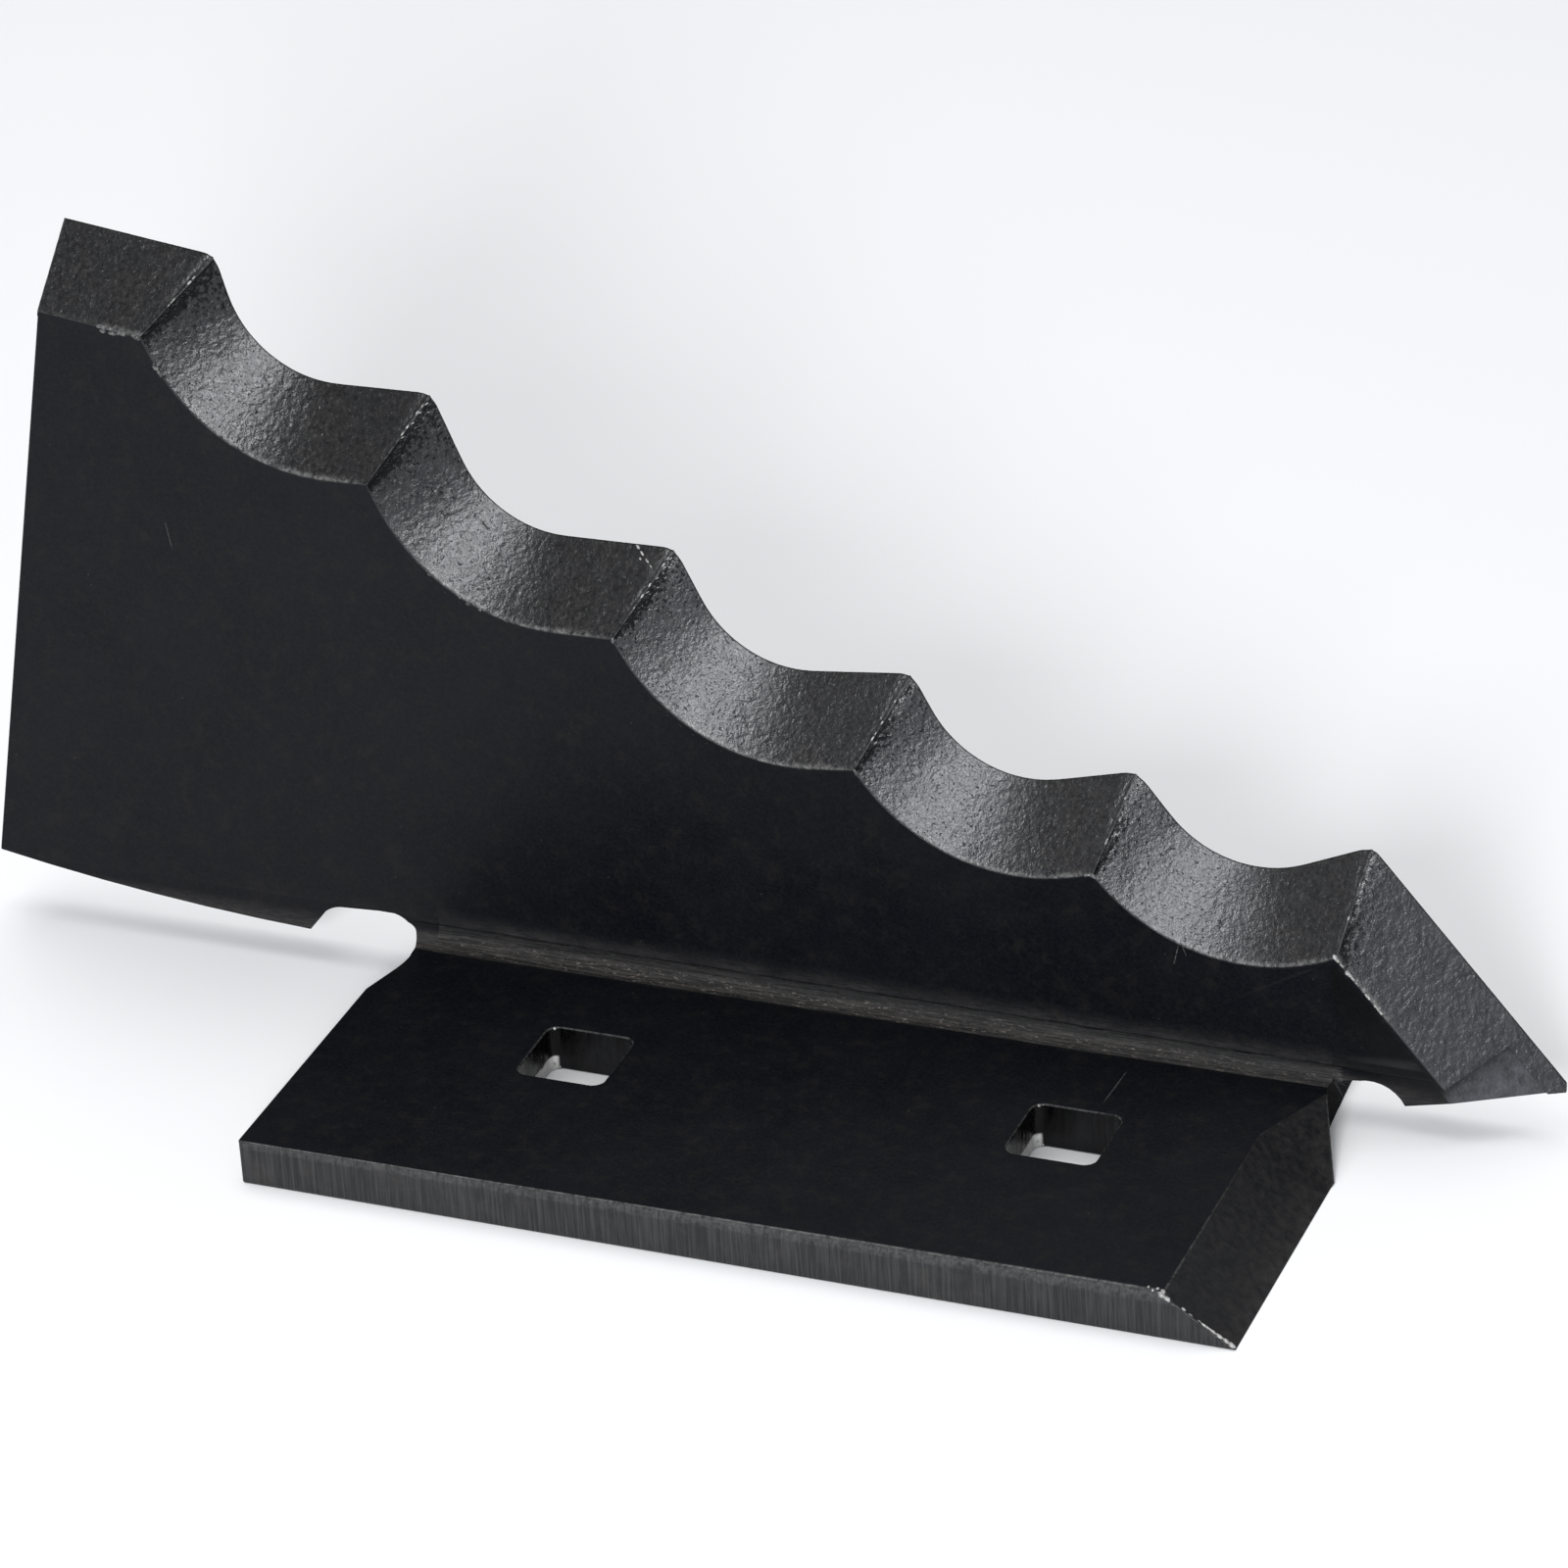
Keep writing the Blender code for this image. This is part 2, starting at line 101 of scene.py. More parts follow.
# ---- materials -----------------------------------------------------------------------------
class Nodes:
    """A material's node tree, with short calls for the nodes it needs."""

    def __init__(self, name):
        self.material = bpy.data.materials.new(name)
        self.material.use_nodes = True
        self.tree = self.material.node_tree
        self.shader = self.tree.nodes["Principled BSDF"]
        self.place = self.node("ShaderNodeTexCoord").outputs["Object"]

    def node(self, kind, **settings):
        made = self.tree.nodes.new(kind)
        for key, value in settings.items():
            setattr(made, key, value)
        return made

    def link(self, source, target):
        self.tree.links.new(source, target)

    def noise(self, size, detail=3.0, roughness=0.5, stretch=(1.0, 1.0, 1.0)):
        """Noise whose lumps are about this size, longer where stretch is above 1."""
        scale = self.node("ShaderNodeMapping")
        scale.inputs["Scale"].default_value = [1.0 / (size * way) for way in stretch]
        made = self.node("ShaderNodeTexNoise")
        made.inputs["Scale"].default_value = 1.0
        made.inputs["Detail"].default_value = detail
        made.inputs["Roughness"].default_value = roughness
        self.link(self.place, scale.inputs["Vector"])
        self.link(scale.outputs["Vector"], made.inputs["Vector"])
        return made.outputs["Fac"]

    def cells(self, size):
        """Distance from the middle of scattered cells about this far apart."""
        made = self.node("ShaderNodeTexVoronoi")
        made.inputs["Scale"].default_value = 1.0 / size
        self.link(self.place, made.inputs["Vector"])
        return made.outputs["Distance"]

    def ramp(self, source, low, high, out_low=0.0, out_high=1.0):
        made = self.node("ShaderNodeMapRange")
        keys = ("From Min", "From Max", "To Min", "To Max")
        for key, value in zip(keys, (low, high, out_low, out_high)):
            made.inputs[key].default_value = value
        self.link(source, made.inputs["Value"])
        return made.outputs["Result"]

    def math(self, operation, first, second):
        made = self.node("ShaderNodeMath", operation=operation)
        for socket, value in zip(made.inputs, (first, second)):
            if isinstance(value, (int, float)):
                socket.default_value = value
            else:
                self.link(value, socket)
        return made.outputs["Value"]

    def times(self, first, second):
        return self.math("MULTIPLY", first, second)

    def mix(self, factor, first, second):
        made = self.node("ShaderNodeMix", data_type="RGBA")
        self.link(factor, made.inputs["Factor"])
        for socket, value in zip((made.inputs[6], made.inputs[7]), (first, second)):
            if isinstance(value, tuple):
                socket.default_value = (*value, 1.0)
            else:
                self.link(value, socket)
        return made.outputs[2]

    def vector(self, operation, first, second=None, result="Vector"):
        made = self.node("ShaderNodeVectorMath", operation=operation)
        self.link(first, made.inputs[0])
        if second is not None:
            made.inputs[1].default_value = second
        return made.outputs[result]

    def axis(self, letter):
        made = self.node("ShaderNodeSeparateXYZ")
        self.link(self.place, made.inputs["Vector"])
        return made.outputs[letter]

    def mask(self, name):
        made = self.node("ShaderNodeAttribute", attribute_name=name)
        return made.outputs["Fac"]

    def bump(self, height, distance, strength=1.0, under=None):
        made = self.node("ShaderNodeBump")
        made.inputs["Distance"].default_value = distance
        made.inputs["Strength"].default_value = strength
        self.link(height, made.inputs["Height"])
        if under:
            self.link(under, made.inputs["Normal"])
        return made.outputs["Normal"]

    def surface(self, colour, roughness, normal, specular):
        self.link(colour, self.shader.inputs["Base Color"])
        self.link(roughness, self.shader.inputs["Roughness"])
        self.link(normal, self.shader.inputs["Normal"])
        self.shader.inputs["Specular IOR Level"].default_value = specular
        return self.material


DUST = (0.05, 0.047, 0.044)
# Colour of the painted highlight above the fold's groove, and of the band's rubbing where it
# reaches the rolled faces.
HIGHLIGHT_AND_RUB = (0.05, 0.047, 0.045)
SHADE = (0.001, 0.001, 0.001)
BARE_STEEL_AND_GLINT = (0.2, 0.195, 0.19)
SCRATCHES = [                    # start and end in mm, width in mm, strength
    ((54.1, 24.6, 9.6), (53.5, 12.2, 9.6), 0.14, 0.5),
    ((62.6, 32.4, 34.6), (61.5, 32.4, 30.0), 0.16, 0.55),
    ((63.2, 32.4, 35.0), (64.1, 32.4, 32.2), 0.12, 0.4),
    ((-144.2, 32.4, 96.5), (-143.2, 32.4, 90.5), 0.16, 0.3),
]


def worn_and_glinting(make, colour, amount=1.0):
    """Paint scuffed thin towards bare steel where the mesh's mask is high, in broken patches; on
    the hard-facing's rims and ridges this is partly a painted glint.
    """
    patches = make.ramp(make.noise(0.9 * MM, 4.0, 0.65), 0.36, 0.62)
    rub = make.times(make.mask("wear"), patches)
    return make.mix(make.times(rub, amount), colour, BARE_STEEL_AND_GLINT)


def scratched(make, colour, start, end, width, strength):
    """A fine scratch between two places, broken along its length."""
    start = Vector(start) * MM
    way = Vector(end) * MM - start
    length = way.length
    way.normalize()
    offset = make.vector("SUBTRACT", make.place, start)
    along = make.vector("DOT_PRODUCT", offset, way, "Value")
    aside = make.vector("LENGTH", make.vector("CROSS_PRODUCT", offset, way), None, "Value")
    line = make.ramp(aside, width * MM, 0.3 * width * MM)
    begins = make.ramp(along, 0.0, 0.12 * length)
    ends = make.ramp(along, length, 0.8 * length)
    broken = make.ramp(make.noise(0.7 * MM, 3.0), 0.35, 0.6, 0.15, strength)
    mask = make.times(make.times(line, broken), make.times(begins, ends))
    return make.mix(mask, colour, (0.16, 0.155, 0.15))


def rolled_paint():
    """Smooth blue-black paint on the plate's rolled faces, with a painted highlight above the
    fold's groove and painted shade in its groove and crease.
    """
    make = Nodes("black_paint_rolled")
    cloud = make.ramp(make.noise(24 * MM, 5.0, 0.62), 0.32, 0.72)
    colour = make.mix(cloud, (0.001, 0.0013, 0.0028), (0.003, 0.0034, 0.0052))
    mottle = make.ramp(make.noise(0.7 * MM, 5.0, 0.75), 0.4, 0.7, 0.0, 0.7)
    colour = make.mix(mottle, colour, (0.0075, 0.0077, 0.0094))
    dusty = make.ramp(make.noise(4.5 * MM, 6.0, 0.72), 0.52, 0.72, 0.0, 0.6)
    colour = make.mix(dusty, colour, (0.011, 0.01, 0.0092))
    specks = make.ramp(make.cells(3.4 * MM), 0.05, 0.02)
    sparse = make.ramp(make.noise(6 * MM, 1.0), 0.5, 0.62)
    colour = make.mix(make.times(specks, sparse), colour, DUST)
    for scratch in SCRATCHES:
        colour = scratched(make, colour, *scratch)
    lines = make.noise(0.5 * MM, 5.0, 0.7, stretch=(5.0, 1.0, 1.0))
    streaks = make.ramp(lines, 0.35, 0.65, 0.25, 1.0)
    # Painted highlight: light streaks along the bulge above the fold's groove.
    colour = make.mix(make.times(make.mask("rubbed"), streaks), colour, HIGHLIGHT_AND_RUB)
    # Painted shade in the fold's groove and crease.
    colour = make.mix(make.mask("shade"), colour, SHADE)
    colour = worn_and_glinting(make, colour, 0.6)
    roughness = make.ramp(make.noise(9 * MM, 6.0, 0.65), 0.25, 0.8, 0.35, 0.5)
    waves = make.bump(make.noise(34 * MM, 2.0), 0.3 * MM)
    grain = make.bump(make.noise(1.1 * MM, 5.0, 0.7), 0.035 * MM, under=waves)
    return make.surface(colour, roughness, grain, specular=0.15)


def cut_paint(name, stretch):
    """Paint over a sawn or burnt edge, with striations along the plate's thickness."""
    make = Nodes(name)
    lines = make.noise(0.5 * MM, 4.0, 0.62, stretch=stretch)
    broad = make.noise(2.6 * MM, 3.0, 0.55, stretch=stretch)
    light = make.ramp(lines, 0.42, 0.66)
    colour = make.mix(light, (0.0062, 0.0064, 0.0072), (0.03, 0.0302, 0.0318))
    patches = make.ramp(make.noise(5 * MM, 5.0, 0.7), 0.5, 0.78, 0.0, 0.7)
    colour = make.mix(patches, colour, (0.034, 0.031, 0.0285))
    colour = worn_and_glinting(make, colour)
    roughness = make.ramp(make.noise(3 * MM, 5.0), 0.2, 0.8, 0.48, 0.64)
    ridges = make.bump(broad, 0.3 * MM, 0.8)
    fine = make.bump(lines, 0.16 * MM, 0.8, under=ridges)
    return make.surface(colour, roughness, fine, specular=0.36)


def notch_paint():
    """Thin matte paint on the flame-cut walls of the notches."""
    make = Nodes("black_paint_notch")
    lines = make.noise(0.6 * MM, 4.0, 0.6)
    colour = make.mix(make.ramp(lines, 0.35, 0.7), (0.006, 0.006, 0.0066), (0.016, 0.0155, 0.0155))
    dusty = make.ramp(make.noise(2.5 * MM, 4.0), 0.6, 0.75, 0.0, 0.6)
    colour = make.mix(dusty, colour, (0.03, 0.027, 0.024))
    roughness = make.ramp(lines, 0.3, 0.7, 0.7, 0.9)
    return make.surface(colour, roughness, make.bump(lines, 0.12 * MM), specular=0.02)


def hole_paint():
    """Paint run thick and glossy down the walls of the square holes, with painted light towards
    their bottom, painted shade on their upper left and a painted reflection low on their left
    walls.
    """
    make = Nodes("black_paint_hole")
    lines = make.noise(0.55 * MM, 3.0, 0.6, stretch=(1.0, 1.0, 22.0))
    runs = make.noise(3.4 * MM, 2.0, 0.5, stretch=(1.0, 1.0, 2.2))
    low = make.ramp(make.axis("Z"), 9.0 * MM, 1.0 * MM)
    colour = make.mix(make.ramp(lines, 0.4, 0.7), (0.0008, 0.0008, 0.001), (0.005, 0.0052, 0.006))
    # Painted light: the walls grow lighter towards the bottom.
    lit = make.times(low, make.ramp(runs, 0.35, 0.65))
    colour = make.mix(lit, colour, (0.0055, 0.0055, 0.0065))
    near_left = None
    for hole in HOLE_PLACES:
        aside = make.math("SUBTRACT", make.axis("X"), hole - HOLE_HALF)
        aside = make.math("ABSOLUTE", aside, 0.0)
        near_left = aside if near_left is None else make.math("MINIMUM", near_left, aside)
    left_part = make.ramp(near_left, 8.5 * MM, 5.5 * MM)
    # Painted shade on the upper walls near each hole's left side.
    thick = make.times(left_part, make.ramp(make.axis("Z"), 2.4 * MM, 4.0 * MM))
    colour = make.mix(thick, colour, (0.0006, 0.0006, 0.0008))
    # Painted reflection: a bright patch low on each hole's left wall, with a ragged top.
    ragged = make.math("ADD", make.axis("Z"), make.times(make.noise(2.2 * MM, 3.0), 1.6 * MM))
    left_wall = make.ramp(near_left, 1.5 * MM, 1.0 * MM)
    painted_reflection = make.times(left_wall, make.ramp(ragged, 4.2 * MM, 3.7 * MM))
    colour = make.mix(painted_reflection, colour, (0.5, 0.49, 0.48))
    colour = worn_and_glinting(make, colour)
    roughness = make.ramp(runs, 0.3, 0.7, 0.16, 0.4)
    drips = make.bump(runs, 0.5 * MM, 0.8)
    fine = make.bump(lines, 0.1 * MM, 0.7, under=drips)
    return make.surface(colour, roughness, fine, specular=0.2)


def fold_paint():
    """Paint streaked along the fold, where the press tool's rubbing marked the plate."""
    make = Nodes("black_paint_fold")
    long_streaks = make.noise(0.34 * MM, 4.0, 0.62, stretch=(40.0, 1.0, 1.0))
    short_streaks = make.noise(0.26 * MM, 4.0, 0.65, stretch=(10.0, 1.0, 1.0))
    flecks = make.noise(0.5 * MM, 3.0, 0.6, stretch=(2.4, 1.0, 1.0))
    rubbed = make.mask("rubbed")
    light = make.ramp(long_streaks, 0.42, 0.6)
    streaks = make.mix(light, (0.006, 0.0058, 0.006), (0.035, 0.0315, 0.0285))
    light = make.ramp(short_streaks, 0.54, 0.66, 0.0, 0.8)
    streaks = make.mix(light, streaks, (0.075, 0.066, 0.058))
    light = make.ramp(flecks, 0.6, 0.68, 0.0, 0.9)
    streaks = make.mix(light, streaks, (0.15, 0.128, 0.11))
    light = make.ramp(long_streaks, 0.45, 0.62)
    plain = make.mix(light, (0.003, 0.003, 0.0034), (0.021, 0.0198, 0.0192))
    light = make.ramp(short_streaks, 0.56, 0.68, 0.0, 0.7)
    plain = make.mix(light, plain, (0.045, 0.043, 0.042))
    colour = make.mix(rubbed, plain, streaks)
    # Painted shade in the groove and the crease.
    colour = make.mix(make.mask("shade"), colour, SHADE)
    colour = worn_and_glinting(make, colour)
    roughness = make.ramp(long_streaks, 0.3, 0.7, 0.46, 0.66)
    lines = make.bump(long_streaks, 0.16 * MM, 0.9)
    grain = make.bump(flecks, 0.1 * MM, 0.8, under=lines)
    return make.surface(colour, roughness, grain, specular=0.24)


def ground_paint():
    """Thin mottled paint where the end of the flange was ground back."""
    make = Nodes("black_paint_ground")
    mottle = make.noise(1.6 * MM, 5.0, 0.7)
    light = make.ramp(mottle, 0.36, 0.66)
    colour = make.mix(light, (0.0025, 0.0026, 0.0034), (0.0125, 0.012, 0.0119))
    worn_edge = make.ramp(make.axis("X"), 93 * MM, 106 * MM, 0.0, 0.55)
    broken = make.ramp(make.noise(3.0 * MM, 5.0, 0.65), 0.4, 0.62)
    colour = make.mix(make.times(worn_edge, broken), colour, (0.06, 0.055, 0.049))
    colour = worn_and_glinting(make, colour, 0.6)
    roughness = make.ramp(mottle, 0.3, 0.7, 0.5, 0.66)
    coarse = make.bump(make.noise(2.6 * MM, 3.0), 0.25 * MM)
    fine = make.bump(make.noise(0.6 * MM, 4.0, 0.65), 0.06 * MM, under=coarse)
    return make.surface(colour, roughness, fine, specular=0.24)


def bare_metal():
    """Burrs and weld beads that the paint no longer covers."""
    make = Nodes("bare_metal")
    grain = make.noise(0.4 * MM, 3.0, 0.6)
    colour = make.mix(make.ramp(grain, 0.35, 0.65), (0.15, 0.147, 0.14), (0.46, 0.45, 0.43))
    roughness = make.ramp(grain, 0.3, 0.7, 0.3, 0.5)
    return make.surface(colour, roughness, make.bump(grain, 0.05 * MM), specular=0.7)


def hard_facing_paint(name, pebble=1.0, painted_light=0.42, specular=0.46):
    """Paint over the hard-facing: bluish and satin, dustier where the dusty mask is high, with
    painted light growing towards the nose and painted shade where the shade mask is high.
    """
    make = Nodes(name)
    cloud = make.ramp(make.noise(6 * MM, 4.0, 0.6), 0.35, 0.7)
    colour = make.mix(cloud, (0.003, 0.0035, 0.0048), (0.0075, 0.0082, 0.01))
    mottle = make.ramp(make.noise(1.7 * MM, 5.0, 0.7), 0.42, 0.66, 0.0, 0.8)
    colour = make.mix(mottle, colour, (0.02, 0.0205, 0.0225))
    light = make.ramp(make.noise(0.9 * MM, 5.0, 0.7), 0.38, 0.66)
    dust = make.mix(light, (0.004, 0.0039, 0.004), (0.024, 0.0222, 0.0205))
    patches = make.ramp(make.noise(9 * MM, 3.0), 0.3, 0.65, 0.55, 1.0)
    amount = make.times(make.mask("dusty"), patches)
    colour = make.mix(amount, colour, dust)
    # Painted light: lighter towards the nose, less where the land is dusty, in blotches.
    to_nose = make.ramp(make.axis("X"), -110 * MM, 70 * MM)
    painted_light_share = make.ramp(make.mask("dusty"), 0.0, 1.0, painted_light, 0.15 * painted_light)
    blotch = make.ramp(make.noise(2.4 * MM, 5.0, 0.7), 0.36, 0.64, 0.4, 1.0)
    amount = make.times(make.times(to_nose, painted_light_share), blotch)
    colour = make.mix(amount, colour, (0.064, 0.0665, 0.073))
    specks = make.ramp(make.noise(0.62 * MM, 2.0, 0.5), 0.66, 0.74, 0.0, 0.5)
    colour = make.mix(specks, colour, (0.09, 0.092, 0.096))
    colour = make.mix(make.mask("shade"), colour, (0.0012, 0.0012, 0.0015))
    colour = worn_and_glinting(make, colour)
    gloss = make.ramp(make.noise(2.4 * MM, 4.0, 0.6), 0.25, 0.75, 0.24, 0.33)
    gloss = make.math("ADD", gloss, make.times(to_nose, 0.03))
    roughness = make.math("SUBTRACT", gloss, make.times(make.mask("shade"), 0.1))
    coarse = make.bump(make.noise(0.8 * MM, 2.0, 0.55), 0.13 * pebble * MM)
    fine = make.bump(make.noise(0.36 * MM, 3.0, 0.6), 0.07 * pebble * MM, under=coarse)
    return make.surface(colour, roughness, fine, specular=specular)


# ---- hard-facing ---------------------------------------------------------------------------
GRID = 0.3 * MM                  # spacing of a layer's points
LAYER_PAINT, LAYER_ROLLED, LAYER_DEEP_SHADE, LAYER_METAL = range(4)
START_DROPS = (0.0, 0.06, 5, 0.24, 0.6, 0.75)
FRINGES = {                      # on each land: from, to, count, size and hang in mm, wear
    0: [(0.62, 1.0, 34, 0.3, 0.9, 0.55)],
    1: [(0.08, 0.2, 6, 0.3, 0.8, 0.7)],
    2: [(0.36, 0.62, 15, 0.2, 0.9, 0.5)],
    3: [START_DROPS],
    4: [(0.93, 1.0, 5, 0.24, 0.4, 0.75), START_DROPS],
    5: [START_DROPS],
}
CHIPS = [                        # chips beside the third ridge: place and size in mm, length
    (-47.6, 41.5, 99.8, 0.26, 2.2), (-46.6, 40.95, 98.8, 0.22, 2.6),
    (-45.4, 40.3, 97.7, 0.18, 2.8), (-44.5, 39.8, 96.9, 0.14, 2.4),
    (-46.8, 40.35, 97.9, 0.2, 1.4),
]
FRONT_LIP = 16.0 * MM            # the bevel's width, where it meets the blade's face
# The section's ends, in mm: inset from the cutting edge, and depth from the front or the back.
LIP = ((17.3, 0.6), (17.27, 0.3), (17.25, -0.003), (17.0, -0.008), (16.6, -0.01), (16.3, -0.01))
REAR = ((0.05, 0.03), (0.12, 0.0), (0.6, 0.02), (2.9, 0.06), (3.4, 0.4))
SMOOTHING = 60                   # passes that smooth the facets out of a land's lines
FOOT_TRIM = 0.4 * MM             # how far the nose's layer stays above its CAD foot
PATCH_STEP = 0.22 * MM           # run over which the layer sinks at the bare patch's border
PATCH_SINK = 2.4 * MM            # how far it sinks into the plate there
PATCH_REAR = 2.2 * MM            # the strip along the blade's back that doesn't sink
BEVEL_NORMAL = Vector((0.396, -0.857, 0.328))
# The front rim's lighter band is partly scuffing and partly a painted glint along the edge.
RIM_WEAR_AND_GLINT = (0.2, 1.0, 0.75, 0.35, 0.12)  # wear across the front rim, from the lip backwards
PEAK_ROUND = 0.65 * MM           # how far the peaks' sharp tips are rounded back


def face_kind(face):
    normal = face.normal
    if normal.y > 0.99:
        return "back"
    if normal.y < -0.99:
        return "front"
    if normal.y < -0.7:
        return "bevel"
    return "inside"


def land_lines(node):
    """The front and the back edge of one land's bevel, from the heel to the nose."""
    body = cad_body(node)
    lines = {"front": {}, "back": {}}
    for edge in body.edges:
        kinds = {face_kind(face) for face in edge.link_faces}
        for side in lines:
            if kinds == {"bevel", side}:
                for vertex in edge.verts:
                    lines[side][vertex.index] = vertex.co.copy()
    body.free()
    return [sorted(lines[side].values(), key=lambda place: place.x) for side in ("front", "back")]


def resampled(front, back):
    """Both lines at even steps along the land, with their facets smoothed away."""
    front = np.array(front)
    back = np.array(back)
    middle = (front + back) / 2
    along = np.concatenate([[0.0], np.cumsum(np.linalg.norm(np.diff(middle, axis=0), axis=1))])
    count = int(math.ceil(along[-1] / GRID))
    at = np.linspace(0.0, along[-1], count + 1)
    made = []
    for line in (front, back):
        fine = np.stack([np.interp(at, along, line[:, axis]) for axis in range(3)], axis=1)
        for _ in range(SMOOTHING):
            fine[1:-1] = (fine[:-2] + 2 * fine[1:-1] + fine[2:]) / 4
        made.append(fine)
    return made


def to_ridge(i, count, number):
    """Distance along a land from one of its points to the nearest ridge shared with another."""
    from_left = i if number else count
    from_right = count - 1 - i if number < len(LANDS) - 1 else count
    return min(from_left, from_right) * GRID


def land_stations():
    """For each land, its front and back line; neighbours share the ridge between them."""
    lands = [land_lines(node) for node in LANDS]
    nose_front, nose_back = lands[-1]
    ridge = nose_front[0]
    way = (nose_back[-1] - nose_back[0]).normalized()
    reach = (nose_back[-1] - nose_back[0]).length + 30 * MM
    lands[-1] = [[ridge, ridge + way * reach], [nose_back[0], nose_back[0] + way * reach]]
    for before, after in zip(lands, lands[1:]):
        for side in range(2):
            after[side][0] = before[side][-1].copy()
    made = [resampled(front, back) for front, back in lands]
    for number, (front, back) in enumerate(made):
        count = len(back)
        inward = front - back
        inward /= np.linalg.norm(inward, axis=1, keepdims=True)
        for i in range(count):
            near = to_ridge(i, count, number) / MM
            back[i] += inward[i] * PEAK_ROUND * math.exp(-(near ** 2))
    return made


def profile():
    """The layer's section as (inset from the cutting edge, depth behind the blade's face)."""
    thick = PLATE_TOP
    points = [(inset * MM, depth * MM) for inset, depth in LIP]
    count = int(round(math.hypot(FRONT_LIP, thick) / GRID))
    bevel = []
    for i in range(count + 1):
        inset = FRONT_LIP * (1 - i / count)
        bevel.append((inset, thick * (1 - inset / FRONT_LIP)))
    points += bevel[:-1]
    points += [(inset * MM, thick - depth * MM) for inset, depth in REAR]
    return points, len(LIP), len(bevel) - 1


def pebble_height(place):
    """Height of the hard-facing's coarse grain at a point."""
    big = noise.noise(place / (1.5 * MM))
    small = noise.noise(place / (0.75 * MM) + Vector((7.0, 3.0, 5.0)))
    slow = noise.noise(place / (5.5 * MM))
    return (0.045 * big + 0.045 * small + 0.06 * slow) * MM


def layer_points(front, back, section):
    """Points of one land: stations along it by points of the section."""
    share = np.array([inset for inset, depth in section]) / FRONT_LIP
    depth = np.array([depth for inset, depth in section])
    points = np.empty((len(front), len(section), 3))
    for axis in (0, 2):
        points[:, :, axis] = back[:, None, axis] + (front - back)[:, None, axis] * share[None, :]
    points[:, :, 1] = BLADE_FRONT + depth[None, :]
    return points


def layer_normals(points):
    along = np.gradient(points, axis=0)
    across = np.gradient(points, axis=1)
    normals = np.cross(along, across)
    normals /= np.linalg.norm(normals, axis=2, keepdims=True) + 1e-12
    return normals


def roughened(lands, section, first, count):
    """Every land's points with the grain, the ridges and the ragged lip raised on them."""
    points = [layer_points(front, back, section) for front, back in lands]
    normals = [layer_normals(grid) for grid in points]
    if normals[0][5, first + 5, 1] > 0:
        normals = [-grid for grid in normals]
    for before, after in zip(normals, normals[1:]):
        shared = before[-1] + after[0]
        shared /= np.linalg.norm(shared, axis=1, keepdims=True) + 1e-12
        before[-1] = shared
        after[0] = shared
    made = []
    for number, (grid, normal) in enumerate(zip(points, normals)):
        moved = grid.copy()
        stations = len(grid)
        for i in range(stations):
            uneven = noise.noise(Vector(grid[i, first]) / (1.7 * MM) + Vector((11.0, 0.0, 2.0)))
            inward = grid[i, first + 1] - grid[i, first]
            moved[i, first] += inward / np.linalg.norm(inward) * (0.12 * uneven) * MM
            crest = math.exp(-(to_ridge(i, stations, number) / (0.3 * MM)) ** 2)
            for k in range(first + 1, first + count + 1):
                height = pebble_height(Vector(grid[i, k])) + crest * 0.07 * MM
                if k >= first + count - 3:
                    height *= 0.4
                moved[i, k] += normal[i, k] * height
        moved[:, :, 1] = np.minimum(moved[:, :, 1], BLADE_BACK - 0.03 * MM)
        made.append(moved)
    return made


def layer_masks(number, stations, ring, first, count):
    """Scuffing and painted glints, painted shade, and dust over one land's points."""
    wear = np.zeros((stations, ring))
    shade = np.zeros((stations, ring))
    dusty = np.zeros((stations, ring))
    last = len(LANDS) - 1
    for i in range(stations):
        share = i / (stations - 1)
        from_left = i * GRID / MM
        ripple = noise.noise(Vector((i * GRID / (2.2 * MM), number * 7.0, 0.0)))
        if number == 0:
            dusty[i] = 0.9
            rim = 0.65 if share > 0.6 else 0.1
        elif number == last:
            dusty[i] = 0.12
            rim = 0.8 if from_left < 16 else 0.1
        else:
            dusty[i] = smoothstep((share - 0.48) / 0.22)
            rim = 0.75 * smoothstep((share - 0.3) / 0.15) * smoothstep((1.04 - share) / 0.25)
        # The front rim's lighter band: partly scuffing, partly a painted glint along the edge.
        for k, part in enumerate(RIM_WEAR_AND_GLINT, first - 1):
            wear[i, k] = part * rim * smoothstep(0.8 + 0.9 * ripple)
        # Painted shade beside each land's left ridge: a dark band, strongest near the front, and a
        # wider darkening, stronger on the first two scallops.
        if number:
            for k in range(first, first + count):
                back = (k - first) / count
                fade = 0.75 if number < 4 else 1.3
                reach = 3.4 - 2.2 * back + 0.8 * ripple
                near = math.exp(-(from_left / reach) ** 2) * max(1 - fade * back, 0.0)
                wide = (0.42 if number < 3 else 0.25) * math.exp(-(from_left / 8.0) ** 2)
                if number == last:
                    near *= 0.55
                shade[i, k] = min(0.85 * near + wide, 1.0)
    # The ridges' lighter line: partly scuffing, partly a painted glint.
    for i in (0, stations - 1):
        for k in range(first, first + count):
            wear[i, k] = 0.35 + 0.6 * noise.noise(Vector((k * 0.21, number * 3.0, i * 0.1)))
            shade[i, k] = 0.0
    return {"wear": wear, "shade": shade, "dusty": dusty}


